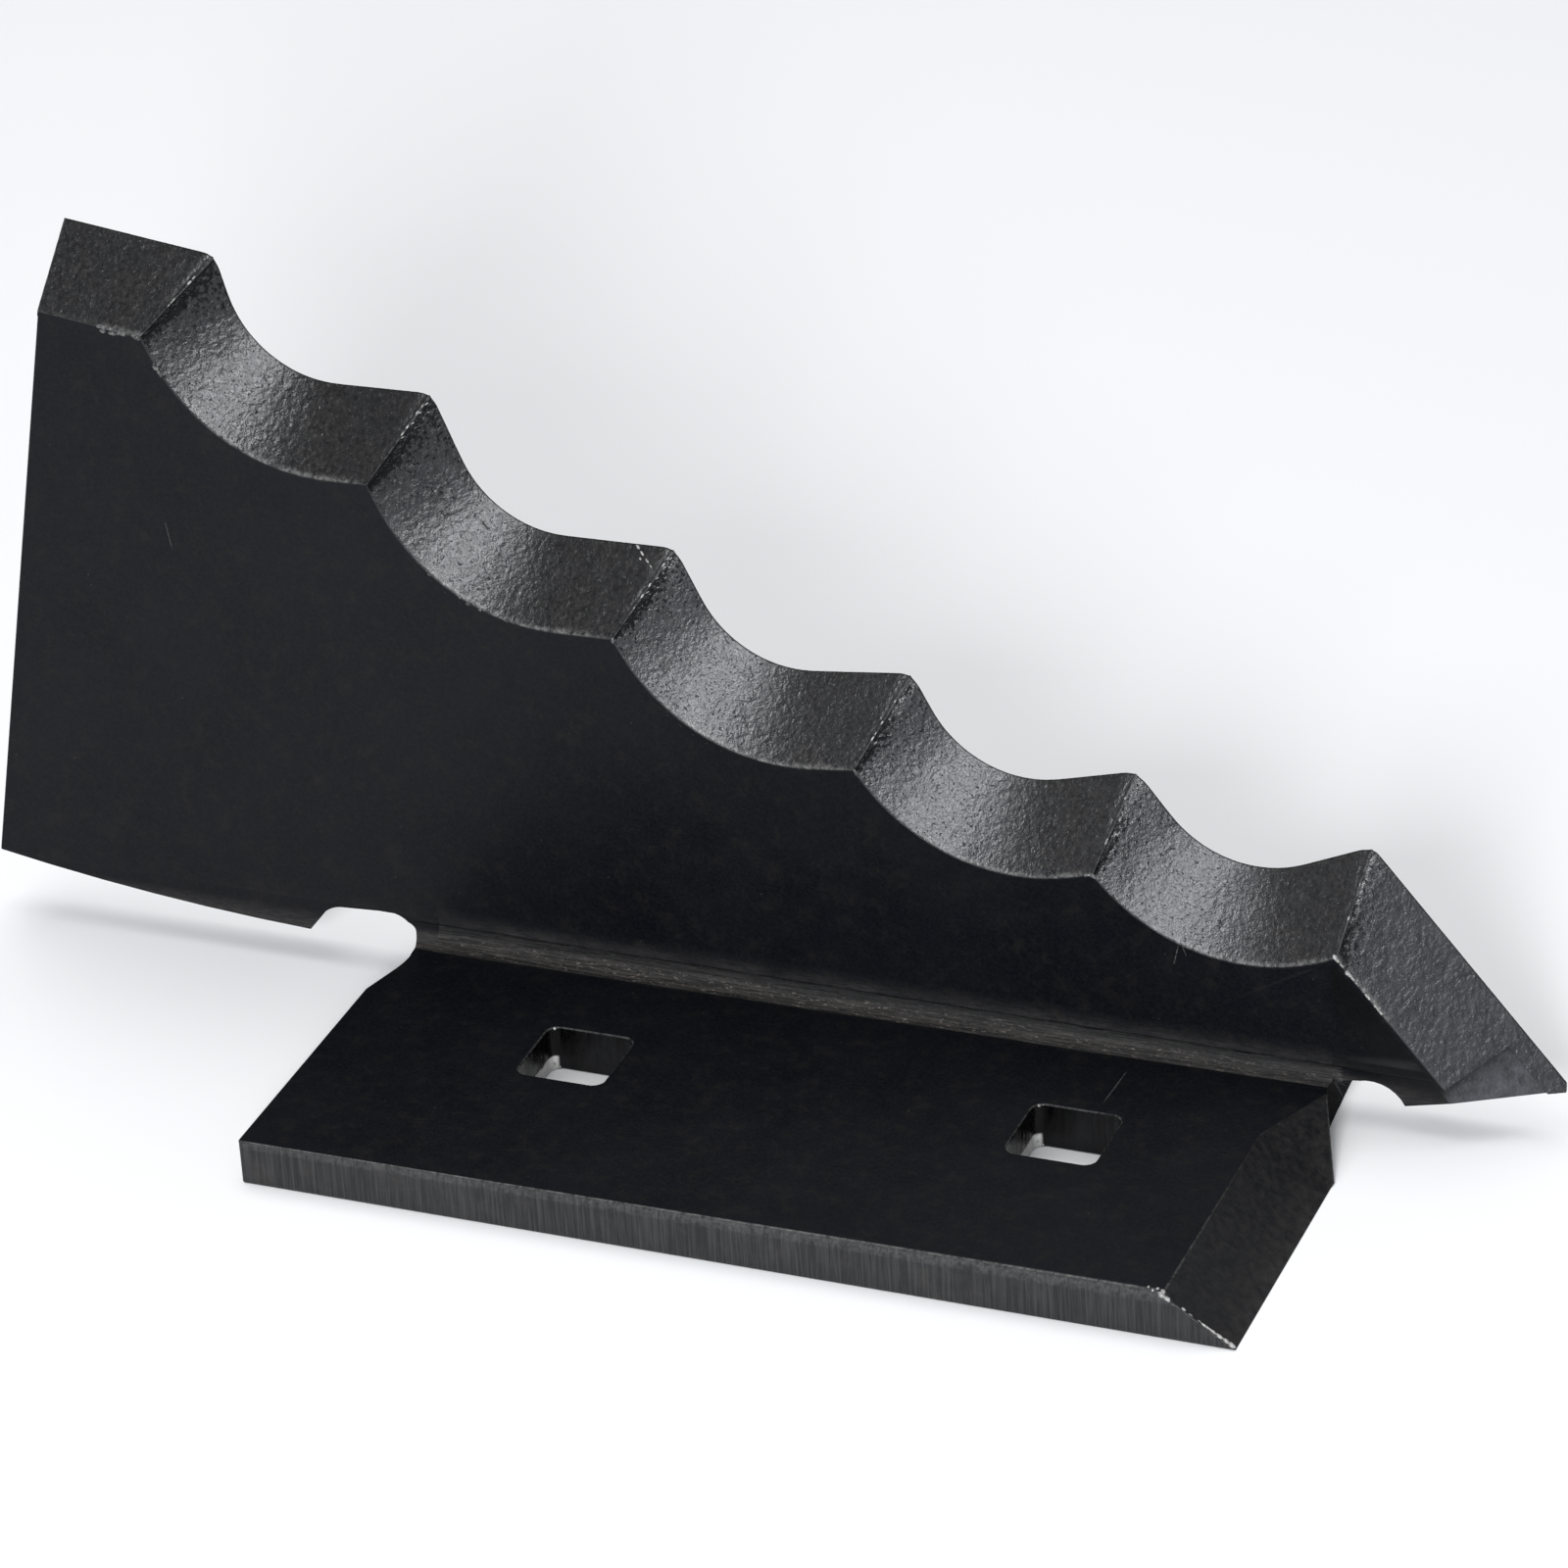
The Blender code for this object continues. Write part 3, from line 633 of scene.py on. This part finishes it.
def closed_layer(name, points, masks, first, last):
    """A closed body whose rings are the layer's sections."""
    stations, ring = points.shape[:2]
    vertices = [tuple(place) for place in points.reshape(-1, 3)]
    faces = []
    for i in range(stations - 1):
        for k in range(ring):
            j = (k + 1) % ring
            faces.append((i * ring + k, i * ring + j, (i + 1) * ring + j, (i + 1) * ring + k))
    faces.append(tuple(range(ring)))
    faces.append(tuple((stations - 1) * ring + k for k in range(ring)))
    mesh = bpy.data.meshes.new(name)
    mesh.from_pydata(vertices, [], faces)
    for key, values in masks.items():
        made = mesh.attributes.new(key, "FLOAT", "POINT")
        made.data.foreach_set("value", values.reshape(-1))
    strip = np.zeros((stations - 1, ring), dtype=np.int32)
    # Faces in the painted shade, and scattered specks that stand for the shaded sides of the grain,
    # take the darker, less glossy copy of the paint.
    for i in range(stations - 1):
        for k in range(first, ring):
            place = Vector(points[i, k]) / (0.7 * MM)
            hollow = masks["shade"][i, k] + 0.55 * noise.noise(place)
            shaded_speck = noise.noise(place * 1.3 + Vector((5.0, 1.0, 9.0)))
            if hollow > 0.45 or (shaded_speck > 0.52 and masks["dusty"][i, k] < 0.1):
                strip[i, k] = LAYER_DEEP_SHADE
    # The rear strip and the inner faces take the same darker copy.
    strip[:, last - 1:] = LAYER_DEEP_SHADE
    strip[:, :first - 1] = LAYER_ROLLED
    slots = np.concatenate([strip.reshape(-1), [LAYER_PAINT, LAYER_PAINT]]).astype(np.int32)
    mesh.polygons.foreach_set("material_index", slots)
    return mesh


def fringe(body, wear, line, begin, end, count, size, hang, rub=0.7):
    """Small drops of metal strung along part of a line, hanging below it by up to hang."""
    for _ in range(count):
        at = begin + (end - begin) * random.random()
        i = min(int(at * (len(line) - 1)), len(line) - 2)
        way = Vector(line[i + 1]) - Vector(line[i])
        place = Vector(line[i]) + Vector((0.0, -0.05 * MM, -hang * random.random() ** 2))
        grow = size * (0.5 + random.random())
        seed = random.random() * 40
        finish = LAYER_METAL if rub > 0.75 else LAYER_PAINT
        lump(body, wear, place, grow, seed, way, 1.0 + 1.2 * random.random(), rub, finish)


def layer_lumps(number, body, front, back):
    """The beads, drops and chips on one land's edges."""
    wear = body.verts.layers.float["wear"]
    for begin, end, count, size, hang, rub in FRINGES.get(number, []):
        fringe(body, wear, front, begin, end, count, size * MM, hang * MM, rub)
    if number == len(LANDS) - 1:
        reach = 15 * MM / (len(front) * GRID)
        fringe(body, wear, front, 0.0, 0.3 * reach, 7, 0.3 * MM, 0.2 * MM, 1.0)
        fringe(body, wear, front, 0.3 * reach, 0.95 * reach, 16, 0.17 * MM, 0.15 * MM, 1.0)
    if number:
        for _ in range(5 if number < 5 else 3):
            at = 0.25 + 0.7 * random.random()
            place = Vector(front[0]) * (1 - at) + Vector(back[0]) * at
            way = Vector(back[0]) - Vector(front[0])
            size = (0.1 + 0.12 * random.random()) * MM
            lump(body, wear, place, size, at * 90, way, 2.4, 1.0, LAYER_METAL)
    if number in (2, 3, 6):
        ridge = Vector(back[0]) - Vector(front[0])
        for at in (0.52, 0.68, 0.8, 0.9):
            place = Vector(front[0]) + ridge * at + Vector((0.7, 0.0, 0.25)) * MM
            lump(body, wear, place, 0.1 * MM, at * 31 + number, Vector((1.0, 0.3, 0.7)), 4.0)
    if number == 2:
        for x, y, z, size, longer in CHIPS:
            place = Vector((x, y, z)) * MM
            lump(body, wear, place, size * MM, x, (0.76, -0.4, -0.62), longer, 1.0, LAYER_METAL)


def cap_planes(node):
    """The planes of the nose layer's own trimmed sides: foot, blunt end and bare patch."""
    body = cad_body(node)
    planes = {}
    for face in body.faces:
        normal = face.normal
        if abs(normal.y) > 0.05:
            continue
        place = face.verts[0].co.copy()
        if normal.x > 0.99:
            planes["end"] = (place, normal.copy())
        elif normal.z < -0.98:
            planes["foot"] = (place, normal.copy())
        elif normal.x > 0.3 and normal.z < -0.3:
            planes["crease"] = (place, normal.copy())
        elif normal.x < -0.3 and normal.z < -0.3:
            planes["strip"] = (place, normal.copy())
    body.free()
    return planes


def trim_nose(mesh):
    """Cut the nose's layer off at its foot and end, and sink it under the bare patch."""
    planes = cap_planes("hardface_nose")
    body = bmesh.new()
    body.from_mesh(mesh)
    for side in ("end", "foot"):
        place, normal = planes[side]
        if side == "foot":
            place = place - normal * FOOT_TRIM
        geometry = body.verts[:] + body.edges[:] + body.faces[:]
        cut = bmesh.ops.bisect_plane(
            body, geom=geometry, dist=0.001 * MM, plane_co=place, plane_no=normal, clear_outer=True
        )
        rim = [item for item in cut["geom_cut"] if isinstance(item, bmesh.types.BMEdge)]
        bmesh.ops.contextual_create(body, geom=rim)
    borders = (planes["crease"], planes["strip"])
    for place, normal in borders:
        for shift in (0.0, PATCH_STEP):
            geometry = body.verts[:] + body.edges[:] + body.faces[:]
            start = place + normal * shift
            bmesh.ops.bisect_plane(
                body, geom=geometry, dist=0.001 * MM, plane_co=start, plane_no=normal
            )
    for vertex in body.verts:
        if vertex.co.y > BLADE_BACK - PATCH_REAR:
            continue
        inside = min((vertex.co - place).dot(normal) for place, normal in borders)
        sink = min(max(inside / PATCH_STEP, 0.0), 1.0)
        vertex.co -= BEVEL_NORMAL * (PATCH_SINK * sink)
    body.to_mesh(mesh)
    body.free()


def hard_facing(materials):
    """One pebbled layer for each land, in the place of its CAD node."""
    section, first, count = profile()
    lands = land_stations()
    grids = roughened(lands, section, first, count)
    for number, (node, points) in enumerate(zip(LANDS, grids)):
        front, back = lands[number]
        masks = layer_masks(number, *points.shape[:2], first, count)
        mesh = closed_layer(node + "_layer", points, masks, first, first + count)
        # The heel, the first two scallops and the nose take the copy with less painted light and
        # gloss.
        mesh.materials.append(materials["hard" if number in (3, 4, 5) else "dull"])
        for key in ("rolled", "hollow", "metal"):
            mesh.materials.append(materials[key])
        if node == "hardface_nose":
            trim_nose(mesh)
        body = bmesh.new()
        body.from_mesh(mesh)
        layer_lumps(number, body, front, back)
        bmesh.ops.recalc_face_normals(body, faces=body.faces)
        body.to_mesh(mesh)
        body.free()
        mesh.shade_smooth()
        mesh.set_sharp_from_angle(angle=math.radians(50))
        piece = add_object(node + "_layer", mesh)
        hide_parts(node)
        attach(piece, "root")


# ---- plate ---------------------------------------------------------------------------------
EDGE_ROUND = 0.35 * MM
FRONT_ROUND = 2.0 * MM
RIDGE_ROUND = 1.6 * MM
ROLLED, CUT_FLANGE, CUT_BLADE, FOLD, BARE, HOLE, NOTCH, METAL, GROUND = range(9)
HOLE_PLACES = (-50 * MM, 50 * MM)
HOLE_HALF = 9 * MM
HOLE_REACH = 9.3 * MM            # a hole's walls and their rounding lie within this
NOTCH_BACK = 41.9 * MM
CLOSE = 0.01 * MM
BURR_TOP = Vector((84.9, -45.9, 9.3)) * MM
BURR_LOW = Vector((99.1, -46.1, 0.5)) * MM
BURR = [                         # share of the way down the ridge, size in mm, length
    (0.02, 0.5, 1.8), (0.1, 0.42, 2.2), (0.19, 0.3, 3.0), (0.3, 0.42, 1.7), (0.4, 0.26, 4.0),
    (0.5, 0.22, 4.4), (0.6, 0.23, 4.4), (0.7, 0.24, 4.0), (0.79, 0.32, 2.6), (0.88, 0.36, 2.2),
    (0.96, 0.42, 1.8),
]
CORNER_DROPS = ((82.2, -44.6, 0.3), (83.3, -45.3, 0.26), (84.0, -44.6, 0.34), (85.2, -45.2, 0.45))
# Bright metal drops in each hole's rear left corner, painted glints: place from the hole's middle
# and size, in mm.
HOLE_GLINT_DROPS = ((-7.9, 8.4, 9.45, 0.3), (-8.4, 8.0, 1.6, 0.22), (-7.6, 8.8, 0.5, 0.26))
CREASE_STEP = 0.8 * MM
GROOVE_HEIGHT = 13.0 * MM        # the press tool's groove, at x = 0
GROOVE_SLOPE = 0.0032
BAND_FOOT = 29.1 * MM            # where the streaked band ends on the flange, at x = 0
BAND_SLOPE = 0.0065
BULGE = 4.5                      # height of the bulge above the groove, in mm


def groove_height(x):
    """Height of the groove that the press tool left along the top of the fold."""
    return GROOVE_HEIGHT - GROOVE_SLOPE * x


def band_foot(x):
    """Where the streaked band ends on the flange."""
    return BAND_FOOT + BAND_SLOPE * x


def is_bevel(face):
    return -0.97 < face.normal.y < -0.7 and face.normal.z > 0.05


def region(face):
    """Which finish a face of the plate carries."""
    normal = face.normal
    centre = face.calc_center_median()
    if is_bevel(face) and centre.y > BLADE_FRONT + 0.2 * MM:
        return BARE
    if abs(normal.z) < 0.3 and any(
        abs(centre.x - x) < HOLE_REACH and abs(centre.y) < HOLE_REACH for x in HOLE_PLACES
    ):
        return HOLE
    before_fold = centre.y < BLADE_FRONT - FOLD_RADIUS + CLOSE
    on_flange = before_fold and centre.z < PLATE_TOP + CLOSE
    if centre.x > 84 * MM and centre.y < 30 * MM and 0.2 < normal.z < 0.95 and normal.x > 0.15:
        return GROUND
    beside_fold = abs(centre.x) > 88 * MM and 10 * MM < centre.y < NOTCH_BACK
    if beside_fold and centre.z < 22 * MM and abs(normal.x) > 0.5:
        return NOTCH
    if on_flange:
        least = 0.95 if centre.y < FLANGE_FRONT + 2 * MM else 0.6
        return ROLLED if abs(normal.z) > least else CUT_FLANGE
    if centre.z < PLATE_TOP + FOLD_RADIUS and centre.y < BLADE_FRONT and normal.z > 0.02:
        return ROLLED
    return ROLLED if abs(normal.y) > 0.6 else CUT_BLADE


def rounded(body, edges, radius, segments, wear, rub):
    """Round some edges of the plate and mark the rounding for rubbing."""
    made = bmesh.ops.bevel(
        body, geom=edges, offset=radius, segments=segments, profile=0.5,
        affect="EDGES", clamp_overlap=False, material=-1,
    )
    rounding = set(made["faces"])
    for vertex in {vertex for face in rounding for vertex in face.verts}:
        if vertex.co.y < 30 * MM and rounding.issuperset(vertex.link_faces):
            vertex[wear] = 0.9 if vertex.co.x > 100 * MM else rub


def cut_strip(body, faces, planes):
    """Cut faces by a row of planes in order; only what lies ahead of a plane is cut again."""
    done = []
    for place, normal in planes:
        geometry = list({item for face in faces for item in (face, *face.edges, *face.verts)})
        cut = bmesh.ops.bisect_plane(
            body, geom=geometry, dist=0.0005 * MM, plane_co=place, plane_no=normal
        )
        made = [item for item in cut["geom"] if isinstance(item, bmesh.types.BMFace)]
        faces = []
        for face in made:
            ahead = (face.calc_center_median() - place).dot(normal) > 0
            (faces if ahead else done).append(face)
    return done + faces


def fold_faces(body):
    """The faces around the fold's front, cut into a fine grid that follows the groove."""
    body.normal_update()
    middle = bmesh.types.BMFace.calc_center_median
    web = [
        face for face in body.faces
        if face.normal.y < -0.99 and abs(middle(face).y - BLADE_FRONT) < CLOSE
    ]
    up = Vector((GROOVE_SLOPE, 0.0, 1.0))
    base = Vector((0.0, 0.0, GROOVE_HEIGHT))
    steps = (-0.4, -0.2, 0.0, 0.15, 0.3, 0.5, 0.8, 1.3, 2.0, 3.0)
    web = cut_strip(body, web, [(base + Vector((0, 0, BULGE * MM)), up)])
    web = [face for face in web if middle(face).z < 17.6 * MM and abs(middle(face).x) < 96 * MM]
    web = cut_strip(body, web, [(base + Vector((0, 0, step * MM)), up) for step in steps])
    flat = [
        face for face in body.faces
        if face.normal.z > 0.99 and abs(middle(face).z - PLATE_TOP) < CLOSE
    ]
    rear = Vector((-BAND_SLOPE, 1.0, 0.0))
    foot = Vector((0.0, BAND_FOOT, 0.0))
    flat = cut_strip(body, flat, [(foot - Vector((0, 5.0 * MM, 0)), rear)])
    flat = [face for face in flat if middle(face).y > 24.2 * MM]
    steps = (-3.4, -2.2, -1.6, -1.0, -0.5, -0.22, 0.0, 0.22, 0.5)
    flat = cut_strip(body, flat, [(foot + Vector((0, step * MM, 0)), rear) for step in steps])
    arc = [
        face for face in body.faces
        if face.normal.y < -0.02 and face.normal.z > 0.02 and abs(face.normal.x) < 0.3
        and BLADE_FRONT - FOLD_RADIUS < middle(face).y < BLADE_FRONT
        and PLATE_TOP < middle(face).z < PLATE_TOP + FOLD_RADIUS
    ]
    steps = (-0.4, -0.2, 0.0)
    arc = cut_strip(body, arc, [(base + Vector((0, 0, step * MM)), up) for step in steps])
    steps = (0.0, 0.22, 0.5)
    arc = cut_strip(body, arc, [(foot + Vector((0, step * MM, 0)), rear) for step in steps])
    across = Vector((1.0, 0.0, 0.0))
    places = [(Vector((i * CREASE_STEP, 0.0, 0.0)), across) for i in range(-116, 117)]
    return cut_strip(body, web + arc + flat, places)


def smoothstep(value):
    value = min(max(value, 0.0), 1.0)
    return value * value * (3 - 2 * value)


def fold_relief(place):
    """Lift along the surface, and painted shade in the groove, the crease and a faint line, at a
    point near the fold.
    """
    x, y, z = place
    ends = smoothstep((94.5 * MM - abs(x)) / (2.5 * MM))
    over = (z - groove_height(x)) / MM + 0.1 * noise.noise(Vector((x / (7 * MM), 0.0, 5.0)))
    broken = smoothstep(0.75 + 1.6 * noise.noise(Vector((x / (8 * MM), 4.0, 1.0))))
    groove = math.exp(-(over / 0.34) ** 2) * (0.4 + 0.6 * broken)
    lift = -0.34 * groove
    if 0.0 < over < BULGE:
        lift += 0.66 * (1 - over / BULGE) ** 2 * smoothstep(over / 0.5)
    streak = 0.055 * noise.noise(Vector((x / (13 * MM), y / (0.8 * MM), z / (0.8 * MM))))
    streak += 0.035 * noise.noise(Vector((x / (2.6 * MM), y / (0.5 * MM), z / (0.5 * MM))))
    foot = (y - band_foot(x)) / MM
    crease = math.exp(-(foot / 0.2) ** 2) if z < PLATE_TOP + 0.5 * MM else 0.0
    wander = 0.5 * noise.noise(Vector((x / (15 * MM), 2.0, 0.0)))
    faint = math.exp(-((foot + 1.7 + wander) / 0.22) ** 2)
    faint *= smoothstep(0.6 + 2 * noise.noise(Vector((x / (11 * MM), 9.0, 3.0))))
    lift -= 0.14 * crease + 0.05 * faint
    if over < 0.0 and foot > 0.0:
        lift += streak
    line = math.exp(-(over / 0.45) ** 2) * (0.7 + 0.3 * broken)
    # Painted shade in the groove, the crease and the faint line.
    dark = max(line, 0.7 * crease, 0.35 * faint)
    return lift * ends * MM, min(dark, 1.0) * ends


def rub_and_highlight_of_fold(place):
    """How much the tool's rubbing marks a point of the band, most in its lower part; above the
    groove it gives a painted highlight instead.
    """
    x, y, z = place
    top = groove_height(x)
    share = 0.5 * ((top - z) / (top - PLATE_TOP) + (BLADE_FRONT - y) / (BLADE_FRONT - band_foot(x)))
    share += 0.16 * noise.noise(Vector((x / (17 * MM), 3.0, 8.0)))
    patchy = 0.75 + 0.5 * noise.noise(Vector((x / (6 * MM), share * 3.0, 2.0)))
    over = (z - top) / MM
    # Above the groove: a painted highlight along the bulge.
    if over > 0.0:
        glow = smoothstep((over - 0.35) / 0.25) * math.exp(-(over / 2.3) ** 2)
        return 0.62 * glow * patchy * smoothstep((95 * MM - abs(x)) / (4 * MM))
    fainter = 1.0 - 0.4 * smoothstep((x - 40 * MM) / (45 * MM))
    return smoothstep((share - 0.12) / 0.35) * smoothstep((1.06 - share) / 0.16) * patchy * fainter


def press_fold(body, shade, rubbed):
    """Raise the fold's groove, bulge and streaks, and mark painted shade in the groove and crease,
    the band's rubbing, and a painted highlight above the groove.
    """
    faces = fold_faces(body)
    centre_y = BLADE_FRONT - FOLD_RADIUS
    centre_z = PLATE_TOP + FOLD_RADIUS
    moved = []
    for vertex in {vertex for face in faces for vertex in face.verts}:
        x, y, z = vertex.co
        if z >= centre_z:
            way = Vector((0.0, -1.0, 0.0))
        elif y <= centre_y:
            way = Vector((0.0, 0.0, 1.0))
        else:
            way = Vector((0.0, centre_y - y, centre_z - z)).normalized()
        lift, dark = fold_relief(vertex.co)
        moved.append((vertex, vertex.co + way * lift, dark))
    for face in faces:
        middle = face.calc_center_median()
        in_band = middle.z < groove_height(middle.x) + 0.1 * MM and middle.y > band_foot(middle.x)
        face.material_index = FOLD if in_band and abs(middle.x) < 95.0 * MM else ROLLED
    for vertex, place, dark in moved:
        vertex[rubbed] = rub_and_highlight_of_fold(vertex.co)
        vertex.co = place
        vertex[shade] = dark
    for vertex in body.verts:
        if vertex.co.y < 20 * MM and abs(vertex.co.x) > 90 * MM:
            vertex.co.z = min(vertex.co.z, PLATE_TOP)


def lump(body, wear, centre, size, seed, way=(1.0, 0.0, 0.0), longer=1.0, rub=1.0, finish=METAL):
    """A small irregular closed lump of metal, longer along one way."""
    way = Vector(way).normalized()
    made = bmesh.ops.create_icosphere(body, subdivisions=2, radius=1.0)["verts"]
    for vertex in made:
        out = vertex.co.normalized()
        rough = 1.0 + 0.4 * noise.noise(out * 1.7 + Vector((seed, 0.0, 0.0)))
        place = out * size * rough
        place += way * place.dot(way) * (longer - 1.0)
        vertex.co = Vector(centre) + place
        vertex.co.y = min(max(vertex.co.y, FLANGE_FRONT), BLADE_BACK)
        vertex.co.z = max(vertex.co.z, 0.0)
        vertex[wear] = rub
    for face in {face for vertex in made for face in vertex.link_faces}:
        face.material_index = finish


def plate_lumps(body, wear):
    """Burrs on the ground end's ridge, and bright metal drops in the square holes that are painted
    glints.
    """
    way = BURR_LOW - BURR_TOP
    for share, size, longer in BURR:
        wobble = Vector((0.0, -0.12, 0.1)) * noise.noise(Vector((share * 9, 3.0, 1.0))) * MM
        lump(body, wear, BURR_TOP + way * share + wobble, size * MM, share * 50, way, longer)
    for x, y, size in CORNER_DROPS:
        lump(body, wear, Vector((x, y, 9.45)) * MM, size * MM, x)
    for hole in HOLE_PLACES:
        for x, y, z, size in HOLE_GLINT_DROPS:
            lump(body, wear, Vector((x, y, z)) * MM + Vector((hole, 0.0, 0.0)), size * MM, x)


def bare_patch(body, shade):
    """Painted shade on the nose's bare patch, darkest beside the end of the hard-facing."""
    planes = cap_planes("hardface_nose")
    place, normal = planes["crease"]
    patch = [
        face for face in body.faces
        if face.material_index == BARE and face.calc_center_median().x > 95 * MM
    ]
    steps = (0.3, 0.7, 1.3, 2.1, 3.2, 4.6, 6.4)
    for face in cut_strip(body, patch, [(place + normal * step * MM, normal) for step in steps]):
        for vertex in face.verts:
            inside = (vertex.co - place).dot(normal) / MM
            vertex[shade] = 0.8 * math.exp(-(max(inside, 0.0) / 2.0) ** 1.3)


def plate_body():
    """The plate's CAD mesh with its edges rounded, and its masks."""
    body = cad_body("bent_plate")
    bmesh.ops.remove_doubles(body, verts=body.verts, dist=0.06 * MM)
    flat = math.radians(0.8)
    bmesh.ops.dissolve_limit(body, angle_limit=flat, verts=body.verts, edges=body.edges)
    body.normal_update()
    wear = body.verts.layers.float.new("wear")
    shade = body.verts.layers.float.new("shade")
    rubbed = body.verts.layers.float.new("rubbed")
    rounded(body, [edge for edge in body.edges if on_front_edge(edge)], FRONT_ROUND, 6, wear, 0.12)
    body.normal_update()
    rounded(body, [edge for edge in body.edges if on_soft_ridge(edge)], RIDGE_ROUND, 5, wear, 0.0)
    body.normal_update()
    rounded(body, [edge for edge in body.edges if on_sharp_edge(edge)], EDGE_ROUND, 3, wear, 0.4)
    return body, wear, shade, rubbed


def on_front_edge(edge):
    """On the flange's front upper edge."""
    start, end = (vertex.co for vertex in edge.verts)
    level = abs(start.z - end.z) < 0.01 * MM and start.z > PLATE_TOP - 0.1 * MM
    return level and max(start.y, end.y) < FLANGE_FRONT + 0.1 * MM and edge.calc_length() > 20 * MM


def on_soft_ridge(edge):
    """On the upper part of the ridge where the flange's end is ground back."""
    middle = (edge.verts[0].co + edge.verts[1].co) / 2
    near = middle.x > 80 * MM and 10 * MM < middle.y < 28 * MM
    on_top = abs(middle.z - PLATE_TOP) < 0.05 * MM
    return near and on_top and 0.4 < edge.calc_face_angle() < 1.0


def on_sharp_edge(edge):
    """On an edge that is rounded a little: not under the hard-facing or at the fold's ends."""
    if edge.calc_face_angle() < math.radians(24):
        return False
    if any(is_bevel(face) for face in edge.link_faces):
        return False
    middle = (edge.verts[0].co + edge.verts[1].co) / 2
    return not (abs(middle.x) > 86 * MM and middle.y > 26.5 * MM and middle.z < 15 * MM)


def plate(materials):
    body, wear, shade, rubbed = plate_body()
    body.normal_update()
    for face in body.faces:
        face.material_index = region(face)
    press_fold(body, shade, rubbed)
    bare_patch(body, shade)
    plate_lumps(body, wear)
    mesh = mesh_from("knife_plate", body)
    for key in ("rolled", "cut_z", "cut_y", "fold", "bare", "hole", "notch", "metal", "ground"):
        mesh.materials.append(materials[key])
    mesh.shade_smooth()
    mesh.set_sharp_from_angle(angle=math.radians(40))
    for polygon in mesh.polygons:
        x, y, z = polygon.center
        at_notch = abs(x) > 92.5 * MM and 26.5 * MM < y < NOTCH_BACK and z < 15 * MM
        polygon.use_smooth = not at_notch and polygon.material_index != NOTCH
    piece = add_object("knife_plate", mesh)
    weighted = piece.modifiers.new("face_weight", "WEIGHTED_NORMAL")
    weighted.keep_sharp = True
    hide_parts("bent_plate")
    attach(piece, "root")


# ---- studio --------------------------------------------------------------------------------
def area_light(name, way, distance, width, height, power, colour=(1.0, 1.0, 1.0)):
    data = bpy.data.lights.new(name, "AREA")
    data.shape = "RECTANGLE"
    data.size = width
    data.size_y = height
    data.energy = power
    data.color = colour
    lamp = add_object(name, data)
    way = Vector(way).normalized()
    lamp.location = Vector((0.0, 0.0, 0.05)) + way * distance
    lamp.rotation_euler = way.to_track_quat("Z", "Y").to_euler()


def studio():
    floor_mesh = bpy.data.meshes.new("floor")
    side = 6.0
    low = -0.03 * MM
    corners = [(-side, -side, low), (side, -side, low), (side, side, low), (-side, side, low)]
    floor_mesh.from_pydata(corners, [], [(0, 1, 2, 3)])
    floor = add_object("floor", floor_mesh)
    make = Nodes("floor_white")
    for key, value in (
        ("Base Color", (0.8, 0.8, 0.8, 1.0)), ("Roughness", 0.9), ("Specular IOR Level", 0.0),
        ("Emission Color", (1.0, 1.0, 1.0, 1.0)), ("Emission Strength", 0.08),
    ):
        make.shader.inputs[key].default_value = value
    floor_mesh.materials.append(make.material)
    world = bpy.data.worlds.new("studio")
    world.use_nodes = True
    world.node_tree.nodes["Background"].inputs["Color"].default_value = (0.265, 0.275, 0.3, 1.0)
    bpy.context.scene.world = world
    area_light("key", (0.19, -0.90, 0.39), 1.9, 0.46, 0.46, 37.0, (0.95, 0.975, 1.0))
    area_light("rear", (0.3, 0.84, 0.46), 1.8, 1.2, 0.8, 2.0, (0.96, 0.98, 1.0))
    area_light("overhead", (-0.25, 0.1, 1.0), 1.8, 1.6, 1.6, 22.0)
    bpy.context.scene.view_settings.view_transform = "Standard"


def camera():
    away = Vector((
        math.sin(VIEW_AZIMUTH) * math.cos(VIEW_ELEVATION),
        -math.cos(VIEW_AZIMUTH) * math.cos(VIEW_ELEVATION),
        math.sin(VIEW_ELEVATION),
    ))
    level = Vector((math.cos(VIEW_AZIMUTH), math.sin(VIEW_AZIMUTH), 0.0))
    upright = away.cross(level)
    right = level * math.cos(VIEW_ROLL) + upright * math.sin(VIEW_ROLL)
    up = away.cross(right)
    data = bpy.data.cameras.new("camera")
    data.lens = LENS
    data.sensor_width = 36.0
    data.clip_start = 0.01
    made = add_object("camera", data)
    turn = Matrix((right, up, away)).transposed().to_4x4()
    made.matrix_world = Matrix.Translation(VIEW_TARGET + away * VIEW_DISTANCE) @ turn
    bpy.context.scene.camera = made


def main():
    materials = {
        "rolled": rolled_paint(),
        "cut_z": cut_paint("black_paint_cut_flange", (1.0, 1.0, 30.0)),
        "cut_y": cut_paint("black_paint_cut_blade", (1.0, 30.0, 1.0)),
        "fold": fold_paint(),
        "hole": hole_paint(),
        "notch": notch_paint(),
        # The copies differ in grain, painted light and gloss: the bare patch takes the most painted
        # light, the less-lit copy less.
        "bare": hard_facing_paint("bare_bevel_paint", 0.5, 0.8, 0.42),
        "hard": hard_facing_paint("hard_facing_paint"),
        "dull": hard_facing_paint("hard_facing_dull_paint", 0.8, 0.34, 0.355),
        # The darker, less glossy copy, for the painted shade beside the ridges and in the grain.
        "hollow": hard_facing_paint("hard_facing_hollow_paint", 1.0, 0.1, 0.08),
        "metal": bare_metal(),
        "ground": ground_paint(),
    }
    plate(materials)
    hard_facing(materials)
    studio()
    camera()


random.seed(11)
main()
